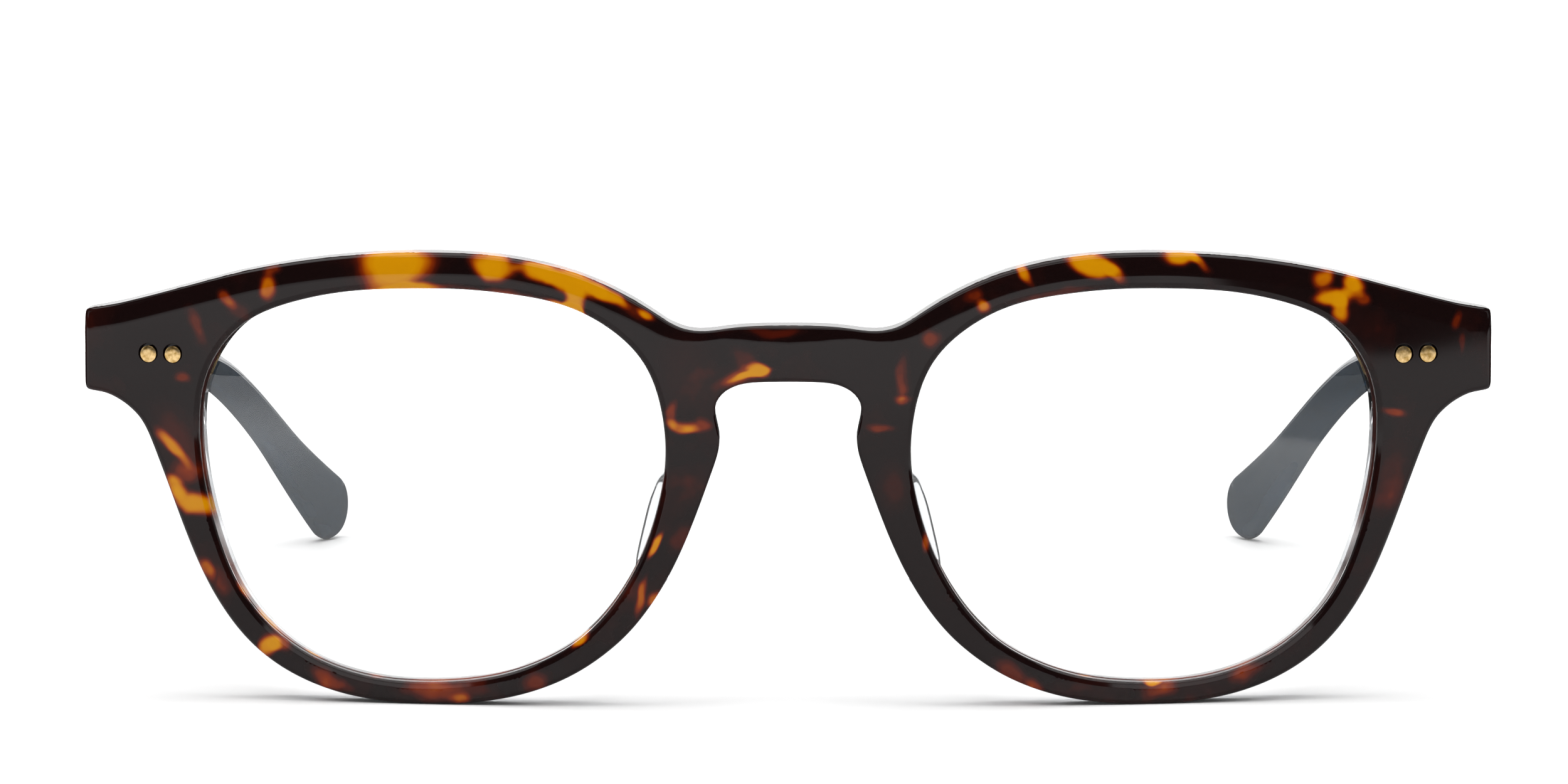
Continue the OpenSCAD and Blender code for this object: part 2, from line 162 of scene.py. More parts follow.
@dataclass(frozen=True)
class TortoiseAcetate:
    """Block acetate, dyed almost black with amber runs, cut and tumbled to a high polish.

    The eye sees soft-edged amber clouds deep in a dark brown ground, under a clear and sharp gloss.
    """

    patches: tuple[Patch, ...] = (
        # Left brow
        Patch(-39.8, 44.7, 2.9, 2.3, 0, 1.0),
        Patch(-38.6, 42.2, 2.8, 0.5, 0, 1.0),
        Patch(-53.0, 42.4, 0.75, 1.1, 10, 0.62),
        Patch(-52.6, 44.2, 0.9, 0.5, 0, 0.36),
        Patch(-57.1, 40.9, 1.0, 0.55, -35, 0.44),
        Patch(-55.8, 39.8, 1.2, 0.8, -40, 0.24),
        Patch(-30.0, 44.7, 1.8, 1.2, -25, 1.0),
        Patch(-25.4, 44.1, 1.9, 0.75, -14, 1.0),
        Patch(-21.8, 43.1, 2.5, 0.95, -20, 1.0),
        Patch(-18.4, 42.0, 1.7, 0.65, -26, 0.85),
        Patch(-21.9, 41.2, 0.85, 1.2, 0, 0.95),
        Patch(-22.4, 40.6, 1.9, 0.45, -25, 1.0),
        Patch(-14.2, 40.1, 0.9, 0.5, -38, 0.6),
        Patch(-15.8, 40.6, 1.9, 0.8, -32, 0.32),
        Patch(-30.0, 42.0, 4.8, 0.45, -5, 0.3),
        # Left end piece and leg
        Patch(-60.4, 38.3, 1.6, 0.55, -65, 0.34),
        Patch(-61.9, 32.9, 0.9, 0.5, -10, 0.38),
        Patch(-63.0, 26.0, 2.0, 0.6, -44, 0.56),
        Patch(-62.4, 26.6, 3.2, 1.7, -60, 0.25),
        Patch(-61.6, 23.0, 1.6, 1.2, 0, 0.34),
        Patch(-60.5, 20.0, 2.1, 0.95, -14, 0.95),
        Patch(-62.6, 21.6, 1.0, 0.8, -40, 0.7),
        Patch(-59.5, 13.2, 0.6, 0.9, 15, 0.46),
        Patch(-57.8, 12.0, 1.3, 0.9, -40, 0.28),
        Patch(-55.3, 11.4, 1.2, 0.45, -55, 0.8),
        Patch(-52.8, 8.1, 1.4, 0.4, -45, 0.8),
        Patch(-53.1, 5.6, 0.8, 1.2, -15, 0.85),
        Patch(-52.0, 5.8, 1.0, 0.8, 0, 0.5),
        Patch(-48.4, 4.9, 0.9, 0.35, -30, 0.75),
        Patch(-46.8, 2.5, 1.9, 0.8, -25, 0.42),
        Patch(-42.2, 3.0, 0.8, 0.3, -15, 0.55),
        Patch(-35.6, 1.4, 3.4, 0.9, 0, 0.34),
        Patch(-33.4, 0.7, 0.9, 0.5, 0, 0.32),
        # Left nasal side and bridge
        Patch(-25.5, 2.6, 1.3, 0.8, 30, 0.36),
        Patch(-20.9, 6.8, 0.8, 0.3, 40, 0.8),
        Patch(-13.6, 16.6, 1.25, 0.38, 68, 0.85),
        Patch(-14.8, 11.2, 1.9, 0.35, 78, 0.4),
        Patch(-13.5, 11.3, 0.8, 0.4, 45, 0.42),
        Patch(-10.8, 17.4, 1.4, 1.0, 60, 0.22),
        Patch(-2.7, 34.5, 0.9, 0.55, -20, 0.72),
        Patch(-3.7, 34.0, 1.6, 0.35, 18, 0.6),
        Patch(-5.0, 33.7, 1.9, 0.8, 18, 0.38),
        Patch(-4.2, 35.5, 1.4, 0.7, -30, 0.24),
        Patch(-10.9, 28.7, 1.2, 0.55, -8, 0.6),
        Patch(-9.2, 28.8, 1.2, 0.6, 12, 0.4),
        Patch(-11.8, 29.9, 0.5, 1.1, 0, 0.38),
        Patch(-1.4, 38.2, 2.4, 0.5, 0, 0.3),
        Patch(-10.5, 34.0, 2.2, 3.4, 0, 0.13),
        Patch(14.5, 37.6, 1.0, 0.8, 20, 0.4),
        Patch(11.5, 33.8, 0.6, 1.8, -8, 0.33),
        Patch(11.4, 31.6, 0.8, 0.5, 0, 0.4),
        Patch(9.4, 28.7, 1.3, 0.45, -10, 0.36),
        Patch(14.0, 16.8, 0.35, 0.9, 0, 0.5),
        Patch(10.6, 22.5, 1.4, 2.0, 0, 0.2),
        # Right brow
        Patch(19.7, 40.5, 0.75, 0.7, -40, 0.72),
        Patch(18.7, 41.8, 0.7, 0.9, -60, 0.3),
        Patch(23.7, 44.0, 1.15, 0.5, -60, 0.72),
        Patch(27.0, 42.0, 4.0, 0.45, 10, 0.28),
        Patch(30.7, 45.1, 2.0, 1.0, -10, 1.0),
        Patch(33.0, 44.2, 1.4, 0.5, -48, 0.6),
        Patch(39.6, 45.6, 1.7, 0.8, -8, 1.0),
        Patch(41.6, 44.8, 1.2, 0.4, -30, 0.5),
        Patch(54.2, 43.2, 1.0, 0.9, -10, 0.6),
        Patch(57.4, 42.4, 0.9, 1.0, 20, 0.8),
        Patch(55.4, 41.2, 1.7, 0.7, -8, 0.95),
        Patch(56.4, 39.8, 0.7, 1.0, 10, 0.8),
        Patch(57.0, 43.9, 2.0, 0.3, -14, 0.5),
        Patch(58.6, 41.0, 0.7, 0.6, -40, 0.42),
        # Right end piece and leg
        Patch(61.9, 29.4, 1.2, 0.4, -18, 0.42),
        Patch(68.4, 38.8, 0.4, 0.9, 0, 0.35),
        Patch(69.1, 36.0, 0.35, 0.9, 0, 0.3),
        Patch(61.6, 23.0, 1.4, 3.0, -14, 0.2),
        Patch(55.1, 11.3, 1.2, 0.4, 55, 0.8),
        Patch(46.6, 4.4, 2.6, 0.35, 21, 0.95),
        Patch(47.0, 3.0, 1.8, 0.8, 20, 0.3),
        Patch(37.7, 1.8, 1.5, 0.9, 0, 0.36),
        Patch(37.3, 2.5, 0.7, 0.22, 0, 0.7),
        Patch(30.8, 3.1, 0.8, 0.25, -5, 0.65),
        Patch(22.6, 3.4, 1.8, 0.9, -38, 0.34),
        Patch(24.9, 2.4, 0.9, 0.5, -25, 0.4),
    )
    ramp: tuple[tuple[float, str], ...] = (
        (0.0, "#150a0a"),
        (0.14, "#210c0a"),
        (0.3, "#451309"),
        (0.46, "#7d2a06"),
        (0.64, "#b25c03"),
        (0.82, "#c98003"),
        (1.0, "#d08c04"),
    )
    roughness: float = 0.06
    ior: float = 1.49
    gloss: float = 0.2
    # Distance between the clouds that make the patches' edges wavy, and the full swing of the shift that they
    # give, in millimetres
    drift_every: float = 4.0
    drift: float = 1.9
    # Where a patch starts and where it is full, in its own half lengths
    fade: tuple[float, float] = (1.75, 0.35)
    # How strong the reddish clouds of the ground are, from nothing at 0 to amber at 1
    ground: float = 0.34
    # How much paler the walls round the lenses are painted: a painted glow standing in for light let through
    painted_wall_glow: float = 0.24
    # Patches that the renderer works out at one time; all of them at once overflow its memory and render
    # black
    batch: int = 27

    def material(self) -> bpy.types.Material:
        """Makes the material; its patches lie on the object's own X and Z.

        Returns:
            The material.
        """
        material, tree, shader = new_material("tortoiseshell acetate, tumbled")
        place = add_node(tree, "ShaderNodeTexCoord").outputs["Object"]
        # Wavy edges: slow clouds shift the patches by less than a millimetre along each axis
        drift = add_node(
            tree,
            "ShaderNodeTexNoise",
            {"Vector": place, "Scale": 1 / (self.drift_every * MM), "Detail": 1.5, "Roughness": 0.5},
        )
        centred = add_node(
            tree,
            "ShaderNodeVectorMath",
            {0: drift.outputs["Color"], 1: (0.5, 0.5, 0.5)},
            operation="SUBTRACT",
        )
        shift = add_node(
            tree, "ShaderNodeVectorMath", {0: centred.outputs[0], "Scale": self.drift * MM}, operation="SCALE"
        )
        wavy = add_node(tree, "ShaderNodeVectorMath", {0: place, 1: shift.outputs[0]}, operation="ADD")
        start = wavy.outputs[0]
        total = None
        for i, patch in enumerate(self.patches):
            if i and i % self.batch == 0:
                # The renderer works out a whole batch at once, so each one waits for the last by a shift too
                # small to see
                later = add_node(
                    tree, "ShaderNodeVectorMath", {0: total, 1: (1e-9, 1e-9, 1e-9), 2: wavy.outputs[0]},
                    operation="MULTIPLY_ADD",
                )
                start = later.outputs[0]
            local = add_node(
                tree,
                "ShaderNodeMapping",
                {
                    "Vector": start,
                    "Location": (patch.x * MM, 0.0, patch.z * MM),
                    "Rotation": (0.0, -math.radians(patch.turn), 0.0),
                    "Scale": (patch.long * MM, 100.0, patch.wide * MM),
                },
                vector_type="TEXTURE",
            )
            reach = add_node(tree, "ShaderNodeVectorMath", {0: local.outputs[0]}, operation="LENGTH")
            lit = add_node(
                tree,
                "ShaderNodeMapRange",
                {
                    "Value": reach.outputs["Value"],
                    "From Min": self.fade[0],
                    "From Max": self.fade[1],
                    "To Max": patch.glow,
                },
                interpolation_type="SMOOTHSTEP",
                clamp=False,
            )
            if total is None:
                total = lit.outputs[0]
            else:
                joined = add_node(tree, "ShaderNodeMath", {0: total, 1: lit.outputs[0]}, operation="ADD")
                total = joined.outputs[0]
        # Faint reddish clouds, about 9 mm apart, everywhere in the ground
        cloud = add_node(
            tree, "ShaderNodeTexNoise", {"Vector": place, "Scale": 115.0, "Detail": 3.0, "Roughness": 0.6}
        )
        ground = add_node(
            tree,
            "ShaderNodeMapRange",
            {"Value": cloud.outputs["Fac"], "From Min": 0.5, "From Max": 0.8, "To Max": self.ground},
        )
        value = add_node(tree, "ShaderNodeMath", {0: total, 1: ground.outputs[0]}, operation="ADD")
        # Painted glow: the walls round the lenses are painted a paler tone, in place of the reddish light
        # that real walls let through
        painted_glow_walls = add_node(tree, "ShaderNodeAttribute", attribute_name="painted_glow_walls")
        value = add_node(
            tree,
            "ShaderNodeMath",
            {0: painted_glow_walls.outputs["Fac"], 1: self.painted_wall_glow, 2: value.outputs[0]},
            operation="MULTIPLY_ADD",
        )
        colour = add_node(tree, "ShaderNodeValToRGB", {"Fac": value.outputs[0]})
        set_ramp(colour, list(self.ramp))
        tree.links.new(colour.outputs["Color"], shader.inputs["Base Color"])
        # Tumbling leaves long, very low waves, about 17 mm apart, that bend the reflections
        waves = add_node(tree, "ShaderNodeTexNoise", {"Vector": place, "Scale": 60.0, "Detail": 1.0})
        bump = add_node(
            tree, "ShaderNodeBump", {"Height": waves.outputs["Fac"], "Strength": 1.0, "Distance": 0.18 * MM}
        )
        tree.links.new(bump.outputs[0], shader.inputs["Normal"])
        shader.inputs["Roughness"].default_value = self.roughness
        shader.inputs["IOR"].default_value = self.ior
        shader.inputs["Specular IOR Level"].default_value = self.gloss
        return material


@dataclass(frozen=True)
class ClearAcetate:
    """Colourless cellulose acetate, polished: a cool, slightly milky clearness with bright edges."""

    name: str = "clear acetate, polished"
    tint: str = "#e9ebee"
    roughness: float = 0.03
    ior: float = 1.48

    def material(self) -> bpy.types.Material:
        """Makes the clear material, with faint flow lines from the sheet it was cut from.

        Returns:
            The material.
        """
        material, tree, shader = new_material(self.name)
        place = add_node(tree, "ShaderNodeTexCoord").outputs["Object"]
        # Flow lines about 3 mm apart, too low to see but for a soft swing in the edge light
        flow = add_node(tree, "ShaderNodeTexNoise", {"Vector": place, "Scale": 330.0, "Detail": 2.0})
        bump = add_node(
            tree, "ShaderNodeBump", {"Height": flow.outputs["Fac"], "Strength": 0.3, "Distance": 0.03 * MM}
        )
        tree.links.new(bump.outputs[0], shader.inputs["Normal"])
        shader.inputs["Base Color"].default_value = to_linear(self.tint)
        shader.inputs["Roughness"].default_value = self.roughness
        shader.inputs["IOR"].default_value = self.ior
        shader.inputs["Transmission Weight"].default_value = 1.0
        return material


@dataclass(frozen=True)
class CoatedLens:
    """Clear lens resin under an anti-reflection coating: almost nothing is seen but its edge."""

    wash: tuple[tuple[float, str], ...] = ((0.0, "#fdfefe"), (1.0, "#ffffff"))
    roughness: float = 0.0
    ior: float = 1.5
    gloss: float = 0.12

    def material(self) -> bpy.types.Material:
        """Makes the lens material; a faint wash of the coating varies its tint over the face.

        Returns:
            The material.
        """
        material, tree, shader = new_material("lens resin, coated")
        place = add_node(tree, "ShaderNodeTexCoord").outputs["Object"]
        # Washes about 40 mm apart
        wash = add_node(tree, "ShaderNodeTexNoise", {"Vector": place, "Scale": 25.0, "Detail": 0.0})
        colour = add_node(tree, "ShaderNodeValToRGB", {"Fac": wash.outputs["Fac"]})
        set_ramp(colour, list(self.wash))
        tree.links.new(colour.outputs["Color"], shader.inputs["Base Color"])
        shader.inputs["Roughness"].default_value = self.roughness
        shader.inputs["IOR"].default_value = self.ior
        shader.inputs["Specular IOR Level"].default_value = self.gloss
        shader.inputs["Transmission Weight"].default_value = 1.0
        return material


@dataclass(frozen=True)
class NavyAcetate:
    """Solid slate-navy acetate, tumbled to a deep gloss, with a slow cloudiness along the grain."""

    deep: str = "#182632"
    pale: str = "#293643"
    roughness: float = 0.06
    ior: float = 1.49
    gloss: float = 0.4

    def material(self) -> bpy.types.Material:
        """Makes the material; its grain runs along the object's Y.

        Returns:
            The material.
        """
        material, tree, shader = new_material("navy acetate, tumbled")
        place = add_node(tree, "ShaderNodeTexCoord").outputs["Object"]
        # Grain runs about 40 mm long and 5 mm wide
        grain = add_node(tree, "ShaderNodeMapping", {"Vector": place, "Scale": (1.0, 0.12, 1.0)})
        cloud = add_node(
            tree, "ShaderNodeTexNoise", {"Vector": grain.outputs[0], "Scale": 200.0, "Detail": 3.0}
        )
        colour = add_node(tree, "ShaderNodeValToRGB", {"Fac": cloud.outputs["Fac"]})
        set_ramp(colour, [(0.3, self.deep), (0.72, self.pale)])
        tree.links.new(colour.outputs["Color"], shader.inputs["Base Color"])
        # Low waves about 14 mm apart, left by tumbling
        waves = add_node(tree, "ShaderNodeTexNoise", {"Vector": place, "Scale": 70.0, "Detail": 1.0})
        bump = add_node(
            tree, "ShaderNodeBump", {"Height": waves.outputs["Fac"], "Strength": 0.6, "Distance": 0.12 * MM}
        )
        tree.links.new(bump.outputs[0], shader.inputs["Normal"])
        shader.inputs["Roughness"].default_value = self.roughness
        shader.inputs["IOR"].default_value = self.ior
        shader.inputs["Specular IOR Level"].default_value = self.gloss
        return material


@dataclass(frozen=True)
class Metal:
    """A bare metal with a fine grit and a slow change of tone from handling."""

    name: str
    bright: str
    dull: str
    roughness: float
    # Distance between the blotches of tarnish, in millimetres
    blotch: float
    # Distance between grit marks; finer ones would not show, so they are drawn this coarse
    grit: float

    def material(self) -> bpy.types.Material:
        """Makes the metal from its two tones, its blotches and its grit.

        Returns:
            The material.
        """
        material, tree, shader = new_material(self.name)
        place = add_node(tree, "ShaderNodeTexCoord").outputs["Object"]
        blotches = add_node(
            tree, "ShaderNodeTexNoise", {"Vector": place, "Scale": 1 / (self.blotch * MM), "Detail": 3.0}
        )
        colour = add_node(tree, "ShaderNodeValToRGB", {"Fac": blotches.outputs["Fac"]})
        set_ramp(colour, [(0.32, self.dull), (0.62, self.bright)])
        tree.links.new(colour.outputs["Color"], shader.inputs["Base Color"])
        marks = add_node(
            tree, "ShaderNodeTexNoise", {"Vector": place, "Scale": 1 / (self.grit * MM), "Detail": 2.0}
        )
        bump = add_node(
            tree, "ShaderNodeBump", {"Height": marks.outputs["Fac"], "Strength": 0.35, "Distance": 0.01 * MM}
        )
        tree.links.new(bump.outputs[0], shader.inputs["Normal"])
        shader.inputs["Roughness"].default_value = self.roughness
        shader.inputs["Metallic"].default_value = 1.0
        return material


# Satin brass: a warm gold with small darker specks
BRASS = Metal("brass, satin", "#e2c28c", "#a98545", 0.28, 0.45, 0.08)
# Drawn spring-steel wire: a plain cool grey
STEEL = Metal("steel, drawn", "#c4c6c9", "#9a9c9f", 0.3, 3.0, 0.15)


# ---------------------------------------------------------------------------------------------------------
# Curves and closed plates
# ---------------------------------------------------------------------------------------------------------


def closed_curve(points: np.ndarray, spacing: float) -> np.ndarray:
    """Smooth curve through a closed list of points, with knots spaced by the root of their distance.

    Args:
        points: the points, one a row.
        spacing: the largest distance between two points of the result.

    Returns:
        The points of the curve.
    """
    made = []
    count = len(points)
    for i in range(count):
        p = [points[(i + j) % count] for j in (-1, 0, 1, 2)]
        k = np.cumsum([0.0] + [math.sqrt(np.linalg.norm(p[j + 1] - p[j])) for j in range(3)])
        steps = max(1, math.ceil(np.linalg.norm(p[2] - p[1]) / spacing))
        for t in k[1] + (k[2] - k[1]) * np.arange(steps) / steps:
            a = [((k[j + 1] - t) * p[j] + (t - k[j]) * p[j + 1]) / (k[j + 1] - k[j]) for j in range(3)]
            b = [((k[j + 2] - t) * a[j] + (t - k[j]) * a[j + 1]) / (k[j + 2] - k[j]) for j in range(2)]
            made.append(((k[2] - t) * b[0] + (t - k[1]) * b[1]) / (k[2] - k[1]))
    return np.array(made)


def relaxed(points: np.ndarray) -> np.ndarray:
    """Each point of a closed line moved halfway to the middle of its neighbours."""
    return (np.roll(points, 1, 0) + 2 * points + np.roll(points, -1, 0)) / 4


def spaced(points: np.ndarray, spacing: float, crisp: np.ndarray | None = None) -> np.ndarray:
    """Cuts a closed line anew, keeping its first point.

    Args:
        points: the points of the line.
        spacing: the distance between the new points.
        crisp: places near which the points lie closer together.

    Returns:
        The new points.
    """
    ring = np.vstack([points, points[:1]])
    run = np.concatenate([[0.0], np.cumsum(np.linalg.norm(np.diff(ring, axis=0), axis=1))])
    marks = np.linspace(0.0, run[-1], max(8, round(run[-1] / spacing)) + 1)[:-1]
    for place in [] if crisp is None else crisp:
        hit = run[np.argmin(np.linalg.norm(ring - place, axis=1))]
        marks = np.append(marks[np.abs(marks - hit) > 1.0], hit + np.linspace(-0.75, 0.75, 13))
    marks = np.sort(marks)
    return np.stack([np.interp(marks, run, ring[:, j]) for j in range(2)], axis=1)


def outward(line: np.ndarray) -> np.ndarray:
    """Unit normals of a closed line that point away from what it encloses.

    Args:
        line: the closed line's points.

    Returns:
        A unit vector for each point.
    """
    way = np.roll(line, -1, 0) - np.roll(line, 1, 0)
    normal = np.stack([way[:, 1], -way[:, 0]], axis=1)
    area = np.sum(line[:, 0] * np.roll(line[:, 1], -1) - np.roll(line[:, 0], -1) * line[:, 1])
    return math.copysign(1.0, area) * normal / np.linalg.norm(normal, axis=1, keepdims=True)


def nearest(points: np.ndarray, line: np.ndarray) -> tuple[np.ndarray, np.ndarray]:
    """Distance from each point to a closed line.

    Args:
        points: the points, one a row.
        line: the closed line's points.

    Returns:
        The distances, and unit vectors from the line towards each point.
    """
    start = line
    step = np.roll(line, -1, 0) - line
    length = np.maximum(np.sum(step * step, axis=1), 1e-12)
    far = np.empty(len(points))
    way = np.empty((len(points), 2))
    for i in range(0, len(points), 2000):
        block = points[i : i + 2000, None, :]
        along = np.clip(np.sum((block - start) * step, axis=2) / length, 0.0, 1.0)
        gap = block - (start + along[:, :, None] * step)
        size = np.sum(gap * gap, axis=2)
        best = np.argmin(size, axis=1)
        rows = np.arange(len(best))
        far[i : i + 2000] = np.sqrt(size[rows, best])
        way[i : i + 2000] = gap[rows, best] / np.maximum(far[i : i + 2000, None], 1e-9)
    return far, way


def enclosed(points: np.ndarray, line: np.ndarray) -> np.ndarray:
    """Whether each point lies inside a closed line.

    Args:
        points: the points, one a row.
        line: the closed line's points.

    Returns:
        True or False for each point.
    """
    inside = np.zeros(len(points), bool)
    for (x0, y0), (x1, y1) in zip(line, np.roll(line, -1, 0)):
        if y0 == y1:
            continue
        crosses = (points[:, 1] > min(y0, y1)) & (points[:, 1] <= max(y0, y1))
        inside ^= crosses & (points[:, 0] < x0 + (points[:, 1] - y0) * (x1 - x0) / (y1 - y0))
    return inside


@dataclass
class Shell:
    """A closed surface in millimetres: points, triangles, and a normal for each triangle's corners."""

    points: np.ndarray
    triangles: np.ndarray
    normals: np.ndarray
    # 1 at the points of the walls round openings, 0 elsewhere; the tortoiseshell layer gets its painted glow
    # there
    painted_glow_walls: np.ndarray

    def __post_init__(self) -> None:
        """Turns every triangle so that it faces the way its normals point."""
        corner = self.points[self.triangles]
        facing = np.cross(corner[:, 1] - corner[:, 0], corner[:, 2] - corner[:, 0])
        wrong = np.sum(facing * self.normals.sum(axis=1), axis=1) < 0
        self.triangles[wrong] = self.triangles[wrong][:, ::-1]
        self.normals[wrong] = self.normals[wrong][:, ::-1]

    def mirrored(self) -> "Shell":
        """The same surface on the other side of the object."""
        flip = np.array([-1.0, 1.0, 1.0])
        return Shell(self.points * flip, self.triangles.copy(), self.normals * flip, self.painted_glow_walls)

    def made(self, name: str, material: bpy.types.Material) -> bpy.types.Object:
        """Makes the object in the scene.

        Args:
            name: the object's name.
            material: its material.

        Returns:
            The object, at the origin.
        """
        mesh = bpy.data.meshes.new(name)
        mesh.from_pydata((self.points * MM).tolist(), [], self.triangles.tolist())
        mesh.shade_smooth()
        mesh.normals_split_custom_set(self.normals.reshape(-1, 3).tolist())
        # The mask where the tortoiseshell paints its glow
        mesh.attributes.new("painted_glow_walls", "FLOAT", "POINT").data.foreach_set("value", self.painted_glow_walls.astype(float))
        mesh.materials.append(material)
        piece = bpy.data.objects.new(name, mesh)
        bpy.context.scene.collection.objects.link(piece)
        return piece


@dataclass(frozen=True)
class Fall:
    """How a face falls away to an edge: a soft slope, a flat cut and a tight rounding, in millimetres."""

    slope_w: float = 0.0
    slope_h: float = 0.0
    round_r: float = 0.0
    cut_w: float = 0.0
    cut_h: float = 0.0

    @property
    def reach(self) -> float:
        """The distance from the edge at which the face is level."""
        return max(self.slope_w, self.round_r, self.cut_w)

    def rings(self) -> list[float]:
        """Distances from the edge at which the face gets a row of points.

        Returns:
            The distances, the smallest first.
        """
        tight = [self.round_r * (1 - math.cos(math.radians(a))) for a in (15, 30, 45, 60, 75, 90)]
        soft = np.arange(self.round_r, self.slope_w, 0.3)[1:].tolist() + [self.slope_w]
        cut = [(self.round_r + self.cut_w) / 2, self.cut_w - 0.02, self.cut_w + 0.02]
        rows = (tight if self.round_r else []) + (soft if self.slope_w > self.round_r else [])
        return sorted(rows + (cut if self.cut_w else []))

    def soft(self, far: np.ndarray, scale: np.ndarray) -> tuple[np.ndarray, np.ndarray]:
        """The soft slope at a distance from the line that it falls towards.

        Args:
            far: distances from that line.
            scale: the size of the fall there, 1 for its full size.

        Returns:
            The depth under the level face, and how fast it shrinks with the distance.
        """
        left = np.clip(1 - far / scale / max(self.slope_w, 1e-6), 0, 1)
        return self.slope_h * left**2 * scale, 2 * self.slope_h / max(self.slope_w, 1e-6) * left

    def crisp(self, far: np.ndarray, scale: np.ndarray) -> tuple[np.ndarray, np.ndarray]:
        """The flat cut and the rounding at a distance from the edge.

        Args:
            far: distances from the edge.
            scale: the size of the fall there, 1 for its full size.

        Returns:
            The depth under the level face, and how fast it shrinks with the distance.
        """
        near = far / scale
        drop = np.zeros(len(near))
        steep = np.zeros(len(near))
        if self.cut_w:
            drop += self.cut_h * np.clip(1 - near / self.cut_w, 0, 1)
            steep += np.where(near < self.cut_w, self.cut_h / self.cut_w, 0)
        if self.round_r:
            left = np.clip(self.round_r - near, 0, self.round_r)
            height = np.sqrt(self.round_r**2 - left**2)
            drop += self.round_r - height
            steep += np.minimum(left / np.maximum(height, 1e-6), 7.0)
        return drop * scale, steep


@dataclass
class Rim:
    """One closed edge of a plate."""

    line: np.ndarray
    front: Fall = Fall()
    back: Fall = Fall()
    # The closed line that the falls are measured from, if it isn't the edge itself
    measure: np.ndarray | None = None
    # The closed line that the soft slope is measured from, if it isn't the edge itself
    measure_soft: np.ndarray | None = None
    # Distance that a groove goes into the wall, and the depths of its two sides
    groove: float = 0.0
    groove_sides: tuple[Depth, Depth] | None = None
    # Depth of a blind hole's floor
    pocket: float | None = None
    # Whether the material lies inside the line
    holds: bool = False


@dataclass
class Plate:
    """A plate between two curved faces, whose edges fall away softly."""

    rims: list[Rim]
    front: Depth
    back: Depth
    # Which of X, Y and Z the two drawn axes and the depth are
    axes: tuple[int, int, int] = (0, 2, 1)
    spacing: float = 1.0
    scale: Depth = lambda points: np.ones(len(points))

    def _rims_of(self, face: Face) -> list[Rim]:
        """The edges that reach a face; a blind hole doesn't reach the back."""
        return [rim for rim in self.rims if face is Face.FRONT or rim.pocket is None]

    def _surface(self, points: np.ndarray, face: Face) -> tuple[np.ndarray, np.ndarray]:
        """Depth and normals of a face.

        Args:
            points: places on the drawn axes.
            face: which face.

        Returns:
            The depth at each point, and the outward normals on the drawn axes and the depth.
        """
        base = self.front if face is Face.FRONT else self.back
        sign = float(face.value)
        slope = np.stack([(base(points + s) - base(points - s)) / 0.02 for s in np.eye(2) * 0.01], axis=1)
        depth = base(points)
        scale = self.scale(points)
        for rim in self._rims_of(face):
            fall = rim.front if face is Face.FRONT else rim.back
            if not fall.reach:
                continue
            line = rim.line if rim.measure is None else rim.measure
            soft_line = line if rim.measure_soft is None else rim.measure_soft
            for part, start in ((fall.crisp, line), (fall.soft, soft_line)):
                far, way = nearest(points, start)
                drop, steep = part(far, scale)
                edge = far < 1e-6
                if edge.any():
                    inner = -outward(start) if rim.holds else outward(start)
                    pick = np.argmin(np.linalg.norm(points[edge][:, None] - start, axis=2), axis=1)
                    way[edge] = inner[pick]
                depth = depth + sign * drop
                slope = slope - sign * steep[:, None] * way
        normals = np.column_stack([slope * sign, np.full(len(points), -sign)])
        return depth, normals / np.linalg.norm(normals, axis=1, keepdims=True)

    def _seeds(self, face: Face) -> np.ndarray:
        """The places that a face's points go to, besides its edges.

        Args:
            face: which face.

        Returns:
            The places on the drawn axes.
        """
        rims = self._rims_of(face)
        falls = [rim.front if face is Face.FRONT else rim.back for rim in rims]
        rows = []
        for rim, fall in zip(rims, falls):
            inward = -outward(rim.line) if rim.holds else outward(rim.line)
            for d in fall.rings():
                moved = rim.line + inward * d
                keep = self._holds(moved)
                keep &= nearest(moved, rim.line)[0] > d - 0.004
                for other, fall_2 in zip(rims, falls):
                    if other is not rim:
                        far = nearest(moved, other.line)[0]
                        keep &= (far > fall_2.reach + 0.1) | (far > d + 0.04)
                rows.append(moved[keep])
        low, high = self.rims[0].line.min(0), self.rims[0].line.max(0)
        h = self.spacing
        across = np.arange(low[0] + h / 2, high[0], h)
        up = np.arange(low[1] + h / 2, high[1], h * 0.866)
        grid = np.array([(x + (j % 2) * h / 2, z) for j, z in enumerate(up) for x in across])
        grid = grid[self._holds(grid)]
        for rim, fall in zip(rims, falls):
            grid = grid[nearest(grid, rim.line)[0] > max(fall.reach, 0.3) + 0.25]
        return np.vstack(rows + [grid])

    def _holds(self, points: np.ndarray) -> np.ndarray:
        """Whether each place is in the plate's material, leaving blind holes out of account.

        Args:
            points: places on the drawn axes.

        Returns:
            True or False for each place.
        """
        inside = np.ones(len(points), bool)
        for rim in self.rims:
            if rim.pocket is None:
                inside &= enclosed(points, rim.line) == rim.holds
        return inside

    def triangulated(self, face: Face) -> tuple[np.ndarray, np.ndarray, list[np.ndarray]]:
        """Cuts a face into triangles.

        Args:
            face: which face.

        Returns:
            Its places, its triangles, and the numbers of the points along each edge.
        """
        rims = self._rims_of(face)
        places = np.vstack([rim.line for rim in rims] + [self._seeds(face)])
        edges, start = [], 0
        for rim in rims:
            n = len(rim.line)
            edges += [(start + i, start + (i + 1) % n) for i in range(n)]
            start += n
        found, _, triangles, origin, _, _ = delaunay_2d_cdt(
            [Vector(p) for p in places.tolist()], edges, [], 0, 1e-5, True
        )
        number = {i: new for new, old in enumerate(origin) for i in old}
        spots = np.array([tuple(v) for v in found])
        cells = np.array([t for t in triangles if len(t) == 3])
        middle = spots[cells].mean(axis=1)
        keep = np.ones(len(cells), bool)
        for rim in rims:
            keep &= enclosed(middle, rim.line) == rim.holds
        loops, start = [], 0
        for rim in rims:
            loops.append(np.array([number[start + i] for i in range(len(rim.line))]))
            start += len(rim.line)
        return spots, cells[keep], loops

